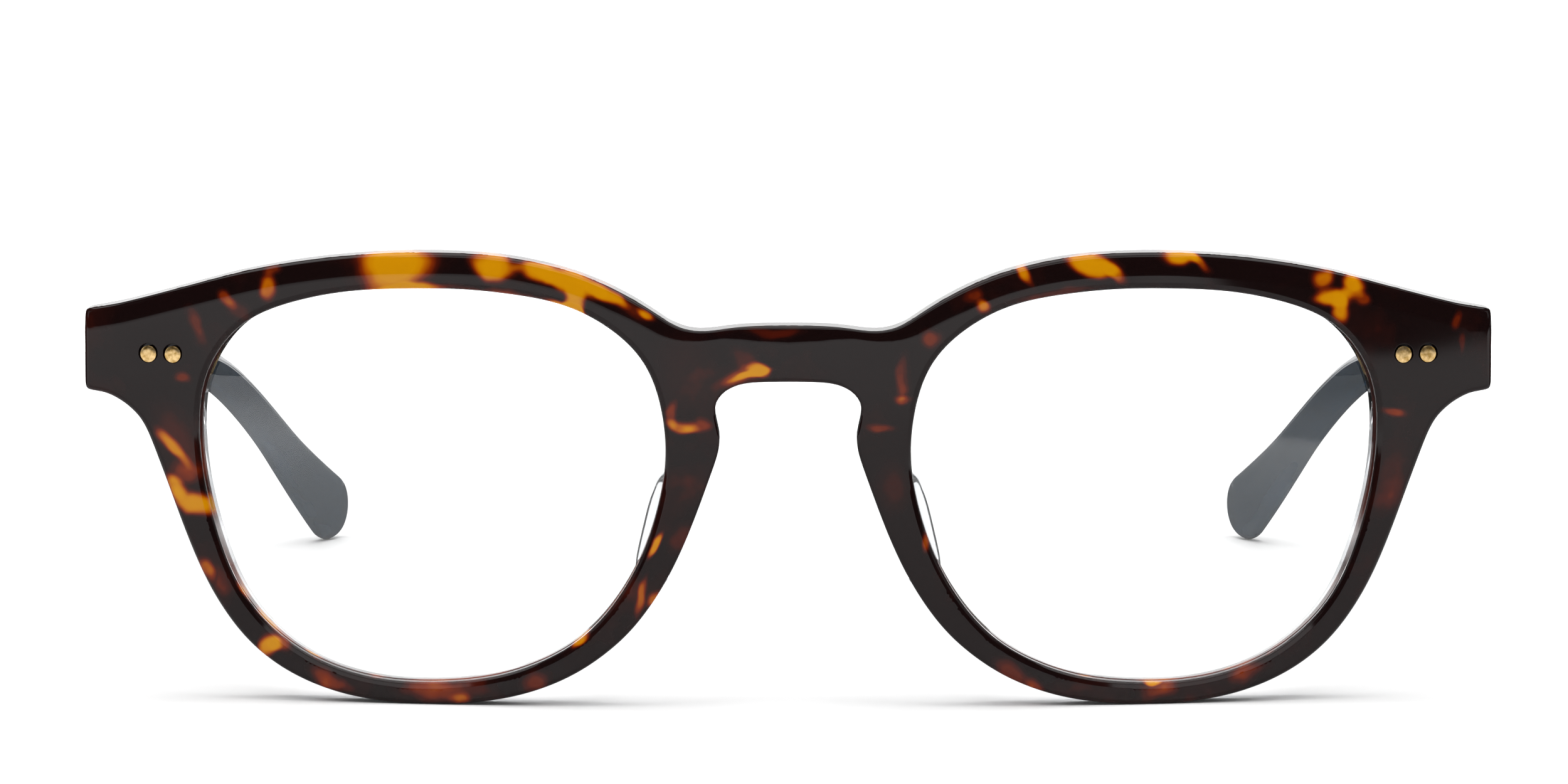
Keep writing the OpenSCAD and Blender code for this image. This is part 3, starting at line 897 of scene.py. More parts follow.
    def shell(self) -> Shell:
        """Makes the closed surface: the two faces, the walls between them, and the blind holes.

        Returns:
            The surface.
        """
        order = np.argsort(self.axes)
        points, cells, normals, rings = [], [], [], {}
        count = 0
        for face in Face:
            spots, triangles, loops = self.triangulated(face)
            depth, facing = self._surface(spots, face)
            points.append(np.column_stack([spots, depth]))
            cells.append(triangles + count)
            normals.append(facing[triangles])
            for rim, loop in zip(self._rims_of(face), loops):
                rings[id(rim), face] = loop + count
            count += len(spots)
        walls: list[np.ndarray] = []
        for rim in self.rims:
            first = rings[id(rim), Face.FRONT]
            rows = [first]
            levels: list[np.ndarray] = []
            if rim.groove_sides:
                wide = rim.line + (outward(rim.line) if not rim.holds else -outward(rim.line)) * rim.groove
                for side, pair in zip(rim.groove_sides, ((rim.line, wide), (wide, rim.line))):
                    levels += [np.column_stack([p, side(p)]) for p in pair]
            if rim.pocket is not None:
                floor = self.front(rim.line) + rim.pocket
                levels += [np.column_stack([rim.line, floor])]
                hub = np.append(rim.line.mean(0), floor.mean())
                levels += [np.tile(hub, (len(rim.line), 1))]
            for level in levels:
                rows.append(np.arange(len(level)) + count)
                points.append(level)
                walls += [rows[-1]] if rim.groove_sides else []
                count += len(level)
            if rim.pocket is None:
                rows.append(rings[id(rim), Face.BACK])
                walls += [rows[-1]] if rim.groove_sides else []
            everything = np.vstack(points)
            sign = 0.0
            for upper, lower in zip(rows, rows[1:]):
                a, b = everything[upper], everything[lower]
                along = np.roll(a, -1, 0) - np.roll(a, 1, 0)
                side = np.cross(along, b - a)
                side /= np.maximum(np.linalg.norm(side, axis=1, keepdims=True), 1e-9)
                if not sign:
                    out = outward(rim.line) if rim.holds else -outward(rim.line)
                    sign = math.copysign(1.0, np.sum(side[:, :2] * out))
                side *= sign
                nxt, low_nxt = np.roll(upper, -1), np.roll(lower, -1)
                next_side = np.roll(side, -1, 0)
                cells += [np.column_stack([upper, lower, low_nxt]), np.column_stack([upper, low_nxt, nxt])]
                normals += [np.stack([side, side, next_side], 1), np.stack([side, next_side, next_side], 1)]
        # Mask of the grooved walls, where the tortoiseshell gets a painted glow
        painted_glow_walls = np.zeros(count)
        for row in walls:
            painted_glow_walls[row] = 1.0
        return Shell(np.vstack(points)[:, order], np.vstack(cells), np.vstack(normals)[:, :, order], painted_glow_walls)


# ---------------------------------------------------------------------------------------------------------
# Geometry Nodes helpers
# ---------------------------------------------------------------------------------------------------------


def node_group(name: str, sizes: list[str]) -> tuple[bpy.types.NodeTree, bpy.types.Node, bpy.types.Node]:
    """Starts a Geometry Nodes tree that takes a mesh, named sizes in metres and a material.

    Args:
        name: the tree's name.
        sizes: the names of its size inputs.

    Returns:
        The tree, its input node and its output node.
    """
    tree = bpy.data.node_groups.new(name, "GeometryNodeTree")
    face = tree.interface
    face.new_socket("Geometry", in_out="INPUT", socket_type="NodeSocketGeometry")
    for size in sizes:
        face.new_socket(size, in_out="INPUT", socket_type="NodeSocketFloat")
    face.new_socket("Material", in_out="INPUT", socket_type="NodeSocketMaterial")
    face.new_socket("Geometry", in_out="OUTPUT", socket_type="NodeSocketGeometry")
    return tree, add_node(tree, "NodeGroupInput"), add_node(tree, "NodeGroupOutput")


def close_group(
    tree: bpy.types.NodeTree, given: bpy.types.Node, end: bpy.types.Node, made: bpy.types.NodeSocket
) -> None:
    """Ends a tree in Realize Instances and Set Material.

    Args:
        tree: the tree.
        given: its input node.
        end: its output node.
        made: the geometry to end with.
    """
    real = add_node(tree, "GeometryNodeRealizeInstances", {"Geometry": made})
    dressed = add_node(
        tree,
        "GeometryNodeSetMaterial",
        {"Geometry": real.outputs[0], "Material": given.outputs["Material"]},
    )
    tree.links.new(dressed.outputs[0], end.inputs[0])


def grown_mesh(
    name: str, mesh: bpy.types.Mesh, tree: bpy.types.NodeTree, values: dict[str, object]
) -> bpy.types.Object:
    """Runs a Geometry Nodes tree on a mesh and keeps the result as a plain mesh.

    Args:
        name: the object's name.
        mesh: the mesh that the tree starts from.
        tree: the tree.
        values: a value for each named input.

    Returns:
        The finished object, at the origin and without modifiers.
    """
    piece = bpy.data.objects.new(name, mesh)
    bpy.context.scene.collection.objects.link(piece)
    modifier = piece.modifiers.new("shape", "NODES")
    modifier.node_group = tree
    for item in tree.interface.items_tree:
        if item.in_out == "INPUT" and item.name in values:
            modifier[item.identifier] = values[item.name]
    graph = bpy.context.evaluated_depsgraph_get()
    done = bpy.data.meshes.new_from_object(piece.evaluated_get(graph), depsgraph=graph)
    piece.modifiers.clear()
    piece.data = done
    done.name = name
    return piece


# ---------------------------------------------------------------------------------------------------------
# The pieces
# ---------------------------------------------------------------------------------------------------------


@dataclass
class Temple:
    """Both temples: a straight, a bend over the ear and a straight, tilted until the tip is on the table."""

    thick_hinge: float = 4.0
    thick_tip: float = 2.7
    high_hinge: float = 7.3
    high_mid: float = 4.5
    high_ear: float = 5.4
    tip_r: float = 4.1
    straight: float = 85.0
    bend_r: float = 93.0
    bend_a: float = 23.7
    ear: float = 17.0
    close_a: float = 2.1
    toe_r: float = 160.0
    # Where the curve towards the head begins, as a share of the straight
    toe_at: float = 0.96
    start_y: float = 15.3274
    start_z: float = 36.0
    half_front: float = 72.05
    edge_r: float = 1.33

    @property
    def bend_l(self) -> float:
        """Length of the bend along the path."""
        return self.bend_r * math.radians(self.bend_a)

    @property
    def tilt(self) -> float:
        """The angle that brings the tip down to the table.

        Returns:
            The angle in radians.
        """
        turn = math.radians(self.bend_a)
        along = self.straight + self.bend_r * math.sin(turn) + self.ear * math.cos(turn)
        across = self.bend_r * (1 - math.cos(turn)) + self.ear * math.sin(turn)
        drop = self.start_z - self.tip_r + 0.03
        return math.asin(drop / math.hypot(along, across)) - math.atan2(across, along)

    @property
    def end_y(self) -> float:
        """How far back the tip reaches."""
        return self.start_y + self.path(self.straight + self.bend_l + self.ear)[0][0] + self.tip_r

    def path(self, s: float) -> tuple[np.ndarray, float]:
        """The middle of the temple seen from the side.

        Args:
            s: distance along the path from the hinge end.

        Returns:
            Its place back and up from the hinge end, and the angle down in radians.
        """
        tilt, turn = self.tilt, math.radians(self.bend_a)
        angle = tilt + turn * min(1.0, max(0.0, (s - self.straight) / self.bend_l))
        if s < self.straight:
            return s * np.array([math.cos(tilt), -math.sin(tilt)]), angle
        bent = self.straight * np.array([math.cos(tilt), -math.sin(tilt)]) + self.bend_r * np.array(
            [math.sin(angle) - math.sin(tilt), math.cos(angle) - math.cos(tilt)]
        )
        rest = max(0.0, s - self.straight - self.bend_l)
        return bent + rest * np.array([math.cos(angle), -math.sin(angle)]), angle

    def half(self, s: float) -> float:
        """Half the temple's height, with the joins of its tapers eased.

        Args:
            s: distance along the path from the hinge end.

        Returns:
            Half the height there.
        """
        total = self.straight + self.bend_l + self.ear
        straight, bent = self.straight, self.straight + self.bend_l
        at = [-5, 8, straight * 0.3, straight * 0.7, straight, bent, total]
        size = [self.high_hinge / 2, self.high_hinge / 2, self.high_mid / 2 + 0.7, self.high_mid / 2]
        size += [self.high_mid / 2, self.high_ear / 2, self.tip_r]
        ease = min(7.0, total - s)
        return float(np.mean(np.interp(s + ease * np.linspace(-1, 1, 9), at, size)))

    def outline(self, start: float) -> np.ndarray:
        """The temple's outline from the side.

        Args:
            start: the distance along the path at which it begins.

        Returns:
            Points on Y and Z, closed.
        """
        total = self.straight + self.bend_l + self.ear
        upper, lower = [], []
        for s in np.linspace(start, total, 160):
            place, angle = self.path(s)
            normal = np.array([math.sin(angle), math.cos(angle)])
            upper.append(place + self.half(s) * normal)
            lower.append(place - self.half(s) * normal)
        hub, angle = self.path(total)
        turns = np.linspace(90, -90, 34)[1:-1]
        cap = [
            hub + self.tip_r * np.array([math.cos(a - angle), math.sin(a - angle)]) for a in np.radians(turns)
        ]
        line = np.array(upper + cap + lower[::-1]) + np.array([self.start_y, self.start_z])
        line[:, 1] = np.maximum(line[:, 1], 0.0)
        return line

    def inner_x(self, y: np.ndarray) -> np.ndarray:
        """The inner face's place, straight at first and then curving towards the head.

        Args:
            y: distances behind the front's face.

        Returns:
            The X of the right temple's inner face at each distance.
        """
        toe = self.start_y + self.straight * self.toe_at
        past = np.maximum(y - toe, 0.0)
        lean = math.tan(math.radians(self.close_a))
        start = self.half_front - self.thick_hinge
        return start - (y - self.start_y + 0.05) * lean - past**2 / (2 * self.toe_r)

    def thick(self, y: np.ndarray) -> np.ndarray:
        """The temple's thickness at a distance back."""
        toe = self.start_y + self.straight * self.toe_at
        return np.interp(y, [self.start_y, toe], [self.thick_hinge, self.thick_tip])

    def build(self, shift: float, material: bpy.types.Material) -> list[bpy.types.Object]:
        """Makes both temples.

        Args:
            shift: what brings a distance behind the front's face to the frame's Y.
            material: the navy acetate.

        Returns:
            The left and the right temple.
        """
        whole = spaced(self.outline(-6.0), 0.75)
        cut = self.outline(-6.0)
        ahead = cut[:, 0] >= self.start_y
        keep = cut[ahead]
        ends = []
        for part in (cut[: len(cut) // 2], cut[len(cut) // 2 :]):
            order = np.argsort(part[:, 0])
            ends.append(float(np.interp(self.start_y, part[order, 0], part[order, 1])))
        line = np.vstack([[self.start_y, ends[0]], keep, [self.start_y, ends[1]]])
        ring = spaced(line, 0.75)
        nearest_0 = int(np.argmin(np.linalg.norm(ring - line[-1], axis=1)))
        ring[nearest_0] = line[-1]
        soft = Fall(2.6, 0.22, self.edge_r)
        plate = Plate(
            [Rim(ring, soft, soft, measure=whole, holds=True)],
            lambda p: self.inner_x(p[:, 0]),
            lambda p: self.inner_x(p[:, 0]) + self.thick(p[:, 0]),
            axes=(1, 2, 0),
            spacing=1.2,
            scale=lambda p: 0.4 + 0.6 * np.clip((p[:, 0] - self.start_y) / 14, 0, 1) ** 1.5,
        )
        right = plate.shell()
        right.points[:, 1] += shift
        made = [right.mirrored().made("left_temple", material), right.made("right_temple", material)]
        for piece, side in zip(made, Side):
            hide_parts(f"temple_{side.value}")
            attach(piece, f"temple_{side.value}")
        return made


@dataclass
class Front:
    """The laminated front: the tortoiseshell layer and the clear one bonded behind it."""

    bend_r: float = 240.0
    tortoise_t: float = 3.6
    crystal_t: float = 1.6
    bond: float = 0.04
    groove_d: float = 0.6
    lens_set: float = 0.9
    lens_t: float = 1.2
    seat: float = 0.03
    lens_mid_z: float = 22.3
    butt_y: float = 15.2774
    rivet_x: tuple[float, float] = (62.855, 65.405)
    rivet_z: float = 35.25
    rivet_hole_r: float = 0.98
    rivet_hole_up: float = 0.11
    rivet_hole_t: float = 0.56
    # How far the outer walls of the openings lean in, and how far along X and from the edge that goes
    wall_lean: float = 0.6
    lean_from: float = 46.0
    lean_over: float = 12.0
    lean_reach: float = 3.0
    spacing: float = 0.5
    # What the outline keeps inside
    half_w: float = 72.06
    top_z: float = 46.085
    # The corners of an end piece
    corners: tuple[tuple[float, float], ...] = ((71.88, 39.6), (71.82, 31.5))
    outer: Fall = Fall(2.4, 0.34, 0.5)
    inner: Fall = Fall(0, 0, 0.28, 0.62, 0.36)
    back_edge: Fall = Fall(1.0, 0.08, 0.5)
    right_edge: tuple[tuple[float, float], ...] = (
        (0, 38.9), (5, 38.8), (7.6, 38.4), (9.3, 38.0), (11, 38.55), (12.9, 39.8), (15.5, 41.45),
        (20.5, 43.85), (28, 45.65), (36, 46.1), (45, 45.65), (54, 44.25), (62, 42.1), (68.5, 40.325),
        (71.6, 39.75), (71.88, 39.6), (71.99, 39.3), (72.05, 35.6), (71.99, 31.8), (71.82, 31.5),
        (71.5, 31.38), (69.8, 31.075),
        (68.3, 30.475), (67.15, 29.625), (66.2, 28.8), (65.1, 26.3), (63.2, 21.3), (61.3, 16.2),
        (58.95, 11.1), (55.2, 6), (51, 2.9), (46, 0.95), (41.2, 0.15), (37, -0.05), (32.8, 0.12),
        (27.6, 0.9), (22.2, 2.9), (17.85, 5.9), (15.05, 8.8), (12.45, 12.7), (10.55, 16.6), (9.05, 20.4),
        (7.65, 24.3), (6.9, 26.5), (6.85, 27.5), (7.0, 28.5), (7.75, 30), (7.6, 31.2), (6.8, 32.35),
        (5.15, 32.98), (3.1, 33.15), (0, 33.2),
    )  # fmt: skip
    right_opening: tuple[tuple[float, float], ...] = (
        (12.35, 26.6), (14.5, 35.1), (21.1, 40.3), (29.5, 42.1), (38, 42.4), (47.4, 41.6), (55.6, 38.6),
        (59.5, 33.2), (60.1, 26.3), (58.65, 18.1), (55.7, 10.8), (50.4, 5.55), (43.5, 2.75), (36, 2.2),
        (28, 3.35), (20.7, 7.1), (15.9, 13.2), (13.1, 20.7),
    )  # fmt: skip

    def bent(self, points: np.ndarray, depth: float) -> np.ndarray:
        """How far back a surface lies that is this deep behind the front's face."""
        return self.bend_r - np.sqrt((self.bend_r - depth) ** 2 - points[:, 0] ** 2)

    def lens_face(self, points: np.ndarray, depth: float) -> np.ndarray:
        """How far back a surface of the lens lies that is this deep at mid height."""
        across = points[:, 0] ** 2 + (points[:, 1] - self.lens_mid_z) ** 2
        return self.bend_r - np.sqrt((self.bend_r - depth) ** 2 - across)

    def edge_line(self) -> np.ndarray:
        """The front's outline, smoothed as the solid's is and cut level where it stands on the table.

        Returns:
            The points of the line.
        """
        right = np.array(self.right_edge, float)
        left = right[-2:0:-1] * np.array([-1.0, 1.0])
        drawn = closed_curve(np.vstack([right, left]), 2.0)
        eased = relaxed(relaxed(drawn))
        # The corners of the end pieces stay crisp
        crisp = np.clip((np.abs(drawn[:, :1]) - 67) / 3, 0, 1)
        corners = np.array([(s * x, z) for s in (-1, 1) for x, z in self.corners])
        line = spaced(closed_curve(eased + (drawn - eased) * crisp, 0.1), self.spacing, corners)
        return np.clip(line, [-self.half_w, 0.0], [self.half_w, self.top_z])

    def brow_line(self, edge: np.ndarray) -> np.ndarray:
        """A closed line along the top edge that runs straight on past both ends and far below the front.

        Args:
            edge: the front's outline.

        Returns:
            The points of the line.
        """
        top = edge[(edge[:, 1] > 37) & (outward(edge)[:, 1] > 0.7)]
        top = top[np.argsort(top[:, 0])]
        reach, fall, low = 95.0, 0.186, -60.0
        ends = [
            top[0] + (top[0][0] + reach) * np.array([-1, -fall]),
            top[-1] + (reach - top[-1][0]) * np.array([1, -fall]),
        ]
        return np.vstack([[-reach, low], ends[:1], top, ends[1:], [reach, low]])

    def edge_size(self, points: np.ndarray) -> np.ndarray:
        """The size of the rounded edges: smaller on the bridge, and smallest beside its dips."""
        return np.interp(np.abs(points[:, 0]), [0, 3, 7, 10, 13, 18], [0.8, 0.72, 0.42, 0.52, 0.78, 1.0])

    def opening_line(self) -> np.ndarray:
        """The right opening's edge."""
        line = relaxed(relaxed(closed_curve(np.array(self.right_opening, float), 2.0)))
        return spaced(closed_curve(line, 0.2), self.spacing)

    def _openings(self) -> list[np.ndarray]:
        """The edges of the left and the right opening."""
        right = self.opening_line()
        return [right * np.array([-1.0, 1.0]), right]

    def _rivet_holes(self) -> list[Rim]:
        """The blind holes that the rivet heads sit in.

        Returns:
            The edges of the four holes.
        """
        turn = np.linspace(0, 2 * math.pi, 41)[:-1]
        ring = self.rivet_hole_r * np.column_stack([np.cos(turn), np.sin(turn)])
        z = self.rivet_z + self.rivet_hole_up
        return [
            Rim(ring + np.array([s * x, z]), front=Fall(0, 0, 0.06), pocket=self.rivet_hole_t)
            for s in (-1, 1)
            for x in self.rivet_x
        ]

    def leaned(self, shell: Shell) -> Shell:
        """Leans the outer wall of each opening towards the middle of the object, behind the lens.

        Args:
            shell: one of the layers.

        Returns:
            The same shell, changed.
        """
        flat = shell.points[:, [0, 2]]
        deep = shell.points[:, 1] - self.bent(flat, 0)
        behind = np.clip((deep - self.lens_set - self.lens_t - self.seat) / self.lean_reach, 0, 1)
        outer = np.clip((np.abs(flat[:, 0]) - self.lean_from) / self.lean_over, 0, 1)
        far = nearest(np.abs(flat), self.opening_line())[0]
        close = np.clip(1 - far / self.lean_reach, 0, 1)
        shell.points[:, 0] -= np.sign(flat[:, 0]) * self.wall_lean * behind * outer * close
        return shell

    def tortoise(self) -> Shell:
        """The tortoiseshell layer, with the lens grooves in its two openings.

        Returns:
            The layer's surface.
        """
        sides = (
            lambda p: self.lens_face(p, self.lens_set - self.seat),
            lambda p: self.lens_face(p, self.lens_set + self.lens_t + self.seat),
        )
        edge = self.edge_line()
        rims = [Rim(edge, front=self.outer, measure_soft=self.brow_line(edge), holds=True)]
        rims += [Rim(o, front=self.inner, groove=self.groove_d, groove_sides=sides) for o in self._openings()]
        rims += self._rivet_holes()
        plate = Plate(
            rims,
            lambda p: self.bent(p, 0),
            lambda p: self.bent(p, self.tortoise_t),
            scale=self.edge_size,
        )
        return self.leaned(plate.shell())

    def crystal(self) -> Shell:
        """The clear layer, flat where the temples butt against it.

        Returns:
            The layer's surface.
        """
        rims = [Rim(self.edge_line(), back=self.back_edge, holds=True)]
        rims += [Rim(o, back=self.back_edge) for o in self._openings()]
        total = self.tortoise_t + self.crystal_t
        plate = Plate(
            rims,
            lambda p: self.bent(p, self.tortoise_t + self.bond),
            lambda p: np.minimum(self.bent(p, total), self.butt_y),
        )
        return self.leaned(plate.shell())

    def build(
        self, shift: float, tortoise: bpy.types.Material, clear: bpy.types.Material
    ) -> list[bpy.types.Object]:
        """Makes both layers.

        Args:
            shift: what brings a distance behind the front's face to the frame's Y.
            tortoise: the tortoiseshell acetate.
            clear: the clear acetate.

        Returns:
            The two pieces.
        """
        made = []
        for name, shell, material, node, slot in (
            ("tortoiseshell_layer", self.tortoise(), tortoise, "front_tortoise", "tortoise_acetate"),
            ("clear_layer", self.crystal(), clear, "front_crystal_back", "clear_acetate"),
        ):
            shell.points[:, 1] += shift
            piece = shell.made(name, material)
            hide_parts(node)
            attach(piece, "front")
            made.append(piece)
        return made


@dataclass
class Lenses:
    """The two lenses: shells between two spheres, cut to the groove."""

    front: Front
    groove_fit: float = 0.57
    spacing: float = 2.0

    def _sheet(self, side: Side) -> bpy.types.Mesh:
        """A flat sheet with the lens's outline, at Y 0 and facing back.

        Args:
            side: which lens.

        Returns:
            The sheet's mesh.
        """
        line = self.front.opening_line()
        line = line + outward(line) * self.groove_fit
        if side is Side.LEFT:
            line = line * np.array([-1.0, 1.0])
        level: Depth = lambda p: 0 * p[:, 0]
        flat = Plate([Rim(line, holds=True)], level, level, spacing=self.spacing)
        spots, cells, _ = flat.triangulated(Face.FRONT)
        mesh = bpy.data.meshes.new(f"lens_sheet_{side.value}")
        points = np.column_stack([spots[:, 0], 0 * spots[:, 0], spots[:, 1]]) * MM
        mesh.from_pydata(points.tolist(), [], cells[:, ::-1].tolist())
        return mesh

    def _tree(self) -> bpy.types.NodeTree:
        """The rule of a lens: a sheet, thickened and laid on a sphere.

        Returns:
            The Geometry Nodes tree.
        """
        sizes = ["Sphere radius", "Depth at mid height", "Thickness", "Mid height", "Front face"]
        tree, given, end = node_group("lens shell", sizes)
        up = add_node(tree, "ShaderNodeCombineXYZ", {"Y": 1.0})
        thick = add_node(
            tree,
            "GeometryNodeExtrudeMesh",
            {
                "Mesh": given.outputs["Geometry"],
                "Offset": up.outputs[0],
                "Offset Scale": given.outputs["Thickness"],
                "Individual": False,
            },
            mode="FACES",
        )
        flipped = add_node(tree, "GeometryNodeFlipFaces", {"Mesh": given.outputs["Geometry"]})
        both = add_node(tree, "GeometryNodeJoinGeometry", {"Geometry": thick.outputs[0]})
        tree.links.new(flipped.outputs[0], both.inputs[0])
        closed = add_node(
            tree, "GeometryNodeMergeByDistance", {"Geometry": both.outputs[0], "Distance": 1e-6}
        )
        place = add_node(tree, "GeometryNodeInputPosition")
        axis = add_node(tree, "ShaderNodeSeparateXYZ", {0: place.outputs[0]})
        sphere_r = given.outputs["Sphere radius"]
        # The sphere's depth at a place is its radius less the root of what X and Z leave of its square
        deep = add_node(
            tree, "ShaderNodeMath", {0: axis.outputs["Y"], 1: given.outputs["Depth at mid height"]}
        )
        radius = add_node(tree, "ShaderNodeMath", {0: sphere_r, 1: deep.outputs[0]}, operation="SUBTRACT")
        rise = add_node(
            tree,
            "ShaderNodeMath",
            {0: axis.outputs["Z"], 1: given.outputs["Mid height"]},
            operation="SUBTRACT",
        )
        squares = [
            add_node(tree, "ShaderNodeMath", {0: way, 1: way}, operation="MULTIPLY").outputs[0]
            for way in (radius.outputs[0], rise.outputs[0], axis.outputs["X"])
        ]
        left = squares[0]
        for taken in squares[1:]:
            left = add_node(tree, "ShaderNodeMath", {0: left, 1: taken}, operation="SUBTRACT").outputs[0]
        root = add_node(tree, "ShaderNodeMath", {0: left}, operation="SQRT")
        back = add_node(tree, "ShaderNodeMath", {0: sphere_r, 1: root.outputs[0]}, operation="SUBTRACT")
        behind = add_node(tree, "ShaderNodeMath", {0: back.outputs[0], 1: given.outputs["Front face"]})
        laid = add_node(
            tree,
            "ShaderNodeCombineXYZ",
            {"X": axis.outputs["X"], "Y": behind.outputs[0], "Z": axis.outputs["Z"]},
        )
        shaped = add_node(
            tree, "GeometryNodeSetPosition", {"Geometry": closed.outputs[0], "Position": laid.outputs[0]}
        )
        close_group(tree, given, end, shaped.outputs[0])
        return tree

    def build(self, shift: float, material: bpy.types.Material) -> list[bpy.types.Object]:
        """Makes both lenses.

        Args:
            shift: what brings a distance behind the front's face to the frame's Y.
            material: the lens resin.

        Returns:
            The left and the right lens.
        """
        tree = self._tree()
        made = []
        for side in Side:
            values = {
                "Sphere radius": self.front.bend_r * MM,
                "Depth at mid height": self.front.lens_set * MM,
                "Thickness": self.front.lens_t * MM,
                "Mid height": self.front.lens_mid_z * MM,
                "Front face": shift * MM,
                "Material": material,
            }
            piece = grown_mesh(f"{side.value}_lens", self._sheet(side), tree, values)
            piece.data.shade_smooth()
            piece.data.set_sharp_from_angle(angle=math.radians(30))
            piece.visible_shadow = False
            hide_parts(f"lens_{side.value}")
            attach(piece, "front")
            made.append(piece)
        return made


@dataclass
class NosePads:
    """The clear pads: a rounded fin behind the nasal side of each rim."""

    front: Front
    low: tuple[float, float] = (13.75, 13.6)
    high: tuple[float, float] = (11.8, 21.9)
    foot_r: float = 2.05
    crest_r: float = 1.3
    out: float = 5.6
    lean: float = 0.7

    def _section(self, x: float, size: float, count: int) -> np.ndarray:
        """One level section: the line round a foot circle and a crest circle.

        Args:
            x: where the foot's middle is across the object.
            size: the section's size, 1 for full.
            count: the number of points.

        Returns:
            Points on X and Y.
        """
        total = self.front.tortoise_t + self.front.crystal_t
        base = float(self.front.bent(np.array([[x, 0.0]]), total)[0])
        foot = np.array([x, base + 0.4])
        crest = np.array([x - self.lean, base + self.out - self.crest_r])
        middle = (foot + crest) / 2
        turn = np.linspace(0, 2 * math.pi, count + 1)[:-1]
        way = np.column_stack([np.cos(turn), np.sin(turn)])
        reach = np.maximum(
            way @ (foot - middle) + self.foot_r * size, way @ (crest - middle) + self.crest_r * size
        )
        # The support line's touching points trace the round outline of the two circles
        steep = (np.roll(reach, -1) - np.roll(reach, 1)) / (2 * (turn[1] - turn[0]))
        side = np.column_stack([-np.sin(turn), np.cos(turn)])
        return middle + reach[:, None] * way + steep[:, None] * side

    def shell(self) -> tuple[np.ndarray, list[tuple[int, ...]]]:
        """Points and faces of the right pad, closed at both ends.

        Returns:
            The points, and the numbers of each face's points.
        """
        count, levels = 40, 22
        points = []
        rise = np.sin(np.linspace(-90, 90, levels) * math.pi / 180)
        mid = (self.low[1] + self.high[1]) / 2
        half = (self.high[1] - self.low[1]) / 2 + self.foot_r
        for r in rise:
            z = mid + r * half
            size = max(0.02, (1 - abs(r) ** 4) ** 0.5)
            x = float(np.interp(z, [self.low[1], self.high[1]], [self.low[0], self.high[0]]))
            ring = self._section(x, 1.0, count)
            hub = ring.mean(0)
            ring = hub + (ring - hub) * size
            seat = self.front.bent(ring, self.front.tortoise_t + self.front.crystal_t + self.front.bond)
            ring[:, 1] = np.maximum(ring[:, 1], seat)
            points += [(p[0], p[1], z) for p in ring]
        faces: list[tuple[int, ...]] = [tuple(range(count))[::-1]]
        for k in range(levels - 1):
            for i in range(count):
                j = (i + 1) % count
                faces.append((k * count + i, k * count + j, (k + 1) * count + j, (k + 1) * count + i))
        faces.append(tuple(range((levels - 1) * count, levels * count)))
        return np.array(points), faces

    def build(self, shift: float, material: bpy.types.Material) -> list[bpy.types.Object]:
        """Makes both pads.

        Args:
            shift: what brings a distance behind the front's face to the frame's Y.
            material: the clear acetate.

        Returns:
            The left and the right pad.
        """
        made = []
        points, faces = self.shell()
        for side in Side:
            mirror = -1.0 if side is Side.LEFT else 1.0
            placed = (points * np.array([mirror, 1, 1]) + np.array([0, shift, 0])) * MM
            turned = [f[::-1] for f in faces] if side is Side.LEFT else faces
            mesh = bpy.data.meshes.new(f"{side.value}_nose_pad")
            mesh.from_pydata(placed.tolist(), [], turned)
            mesh.shade_smooth()
            mesh.materials.append(material)
            piece = bpy.data.objects.new(mesh.name, mesh)
            bpy.context.scene.collection.objects.link(piece)
            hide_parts(f"nose_pad_{side.value}")
            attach(piece, "front")
            made.append(piece)
        return made


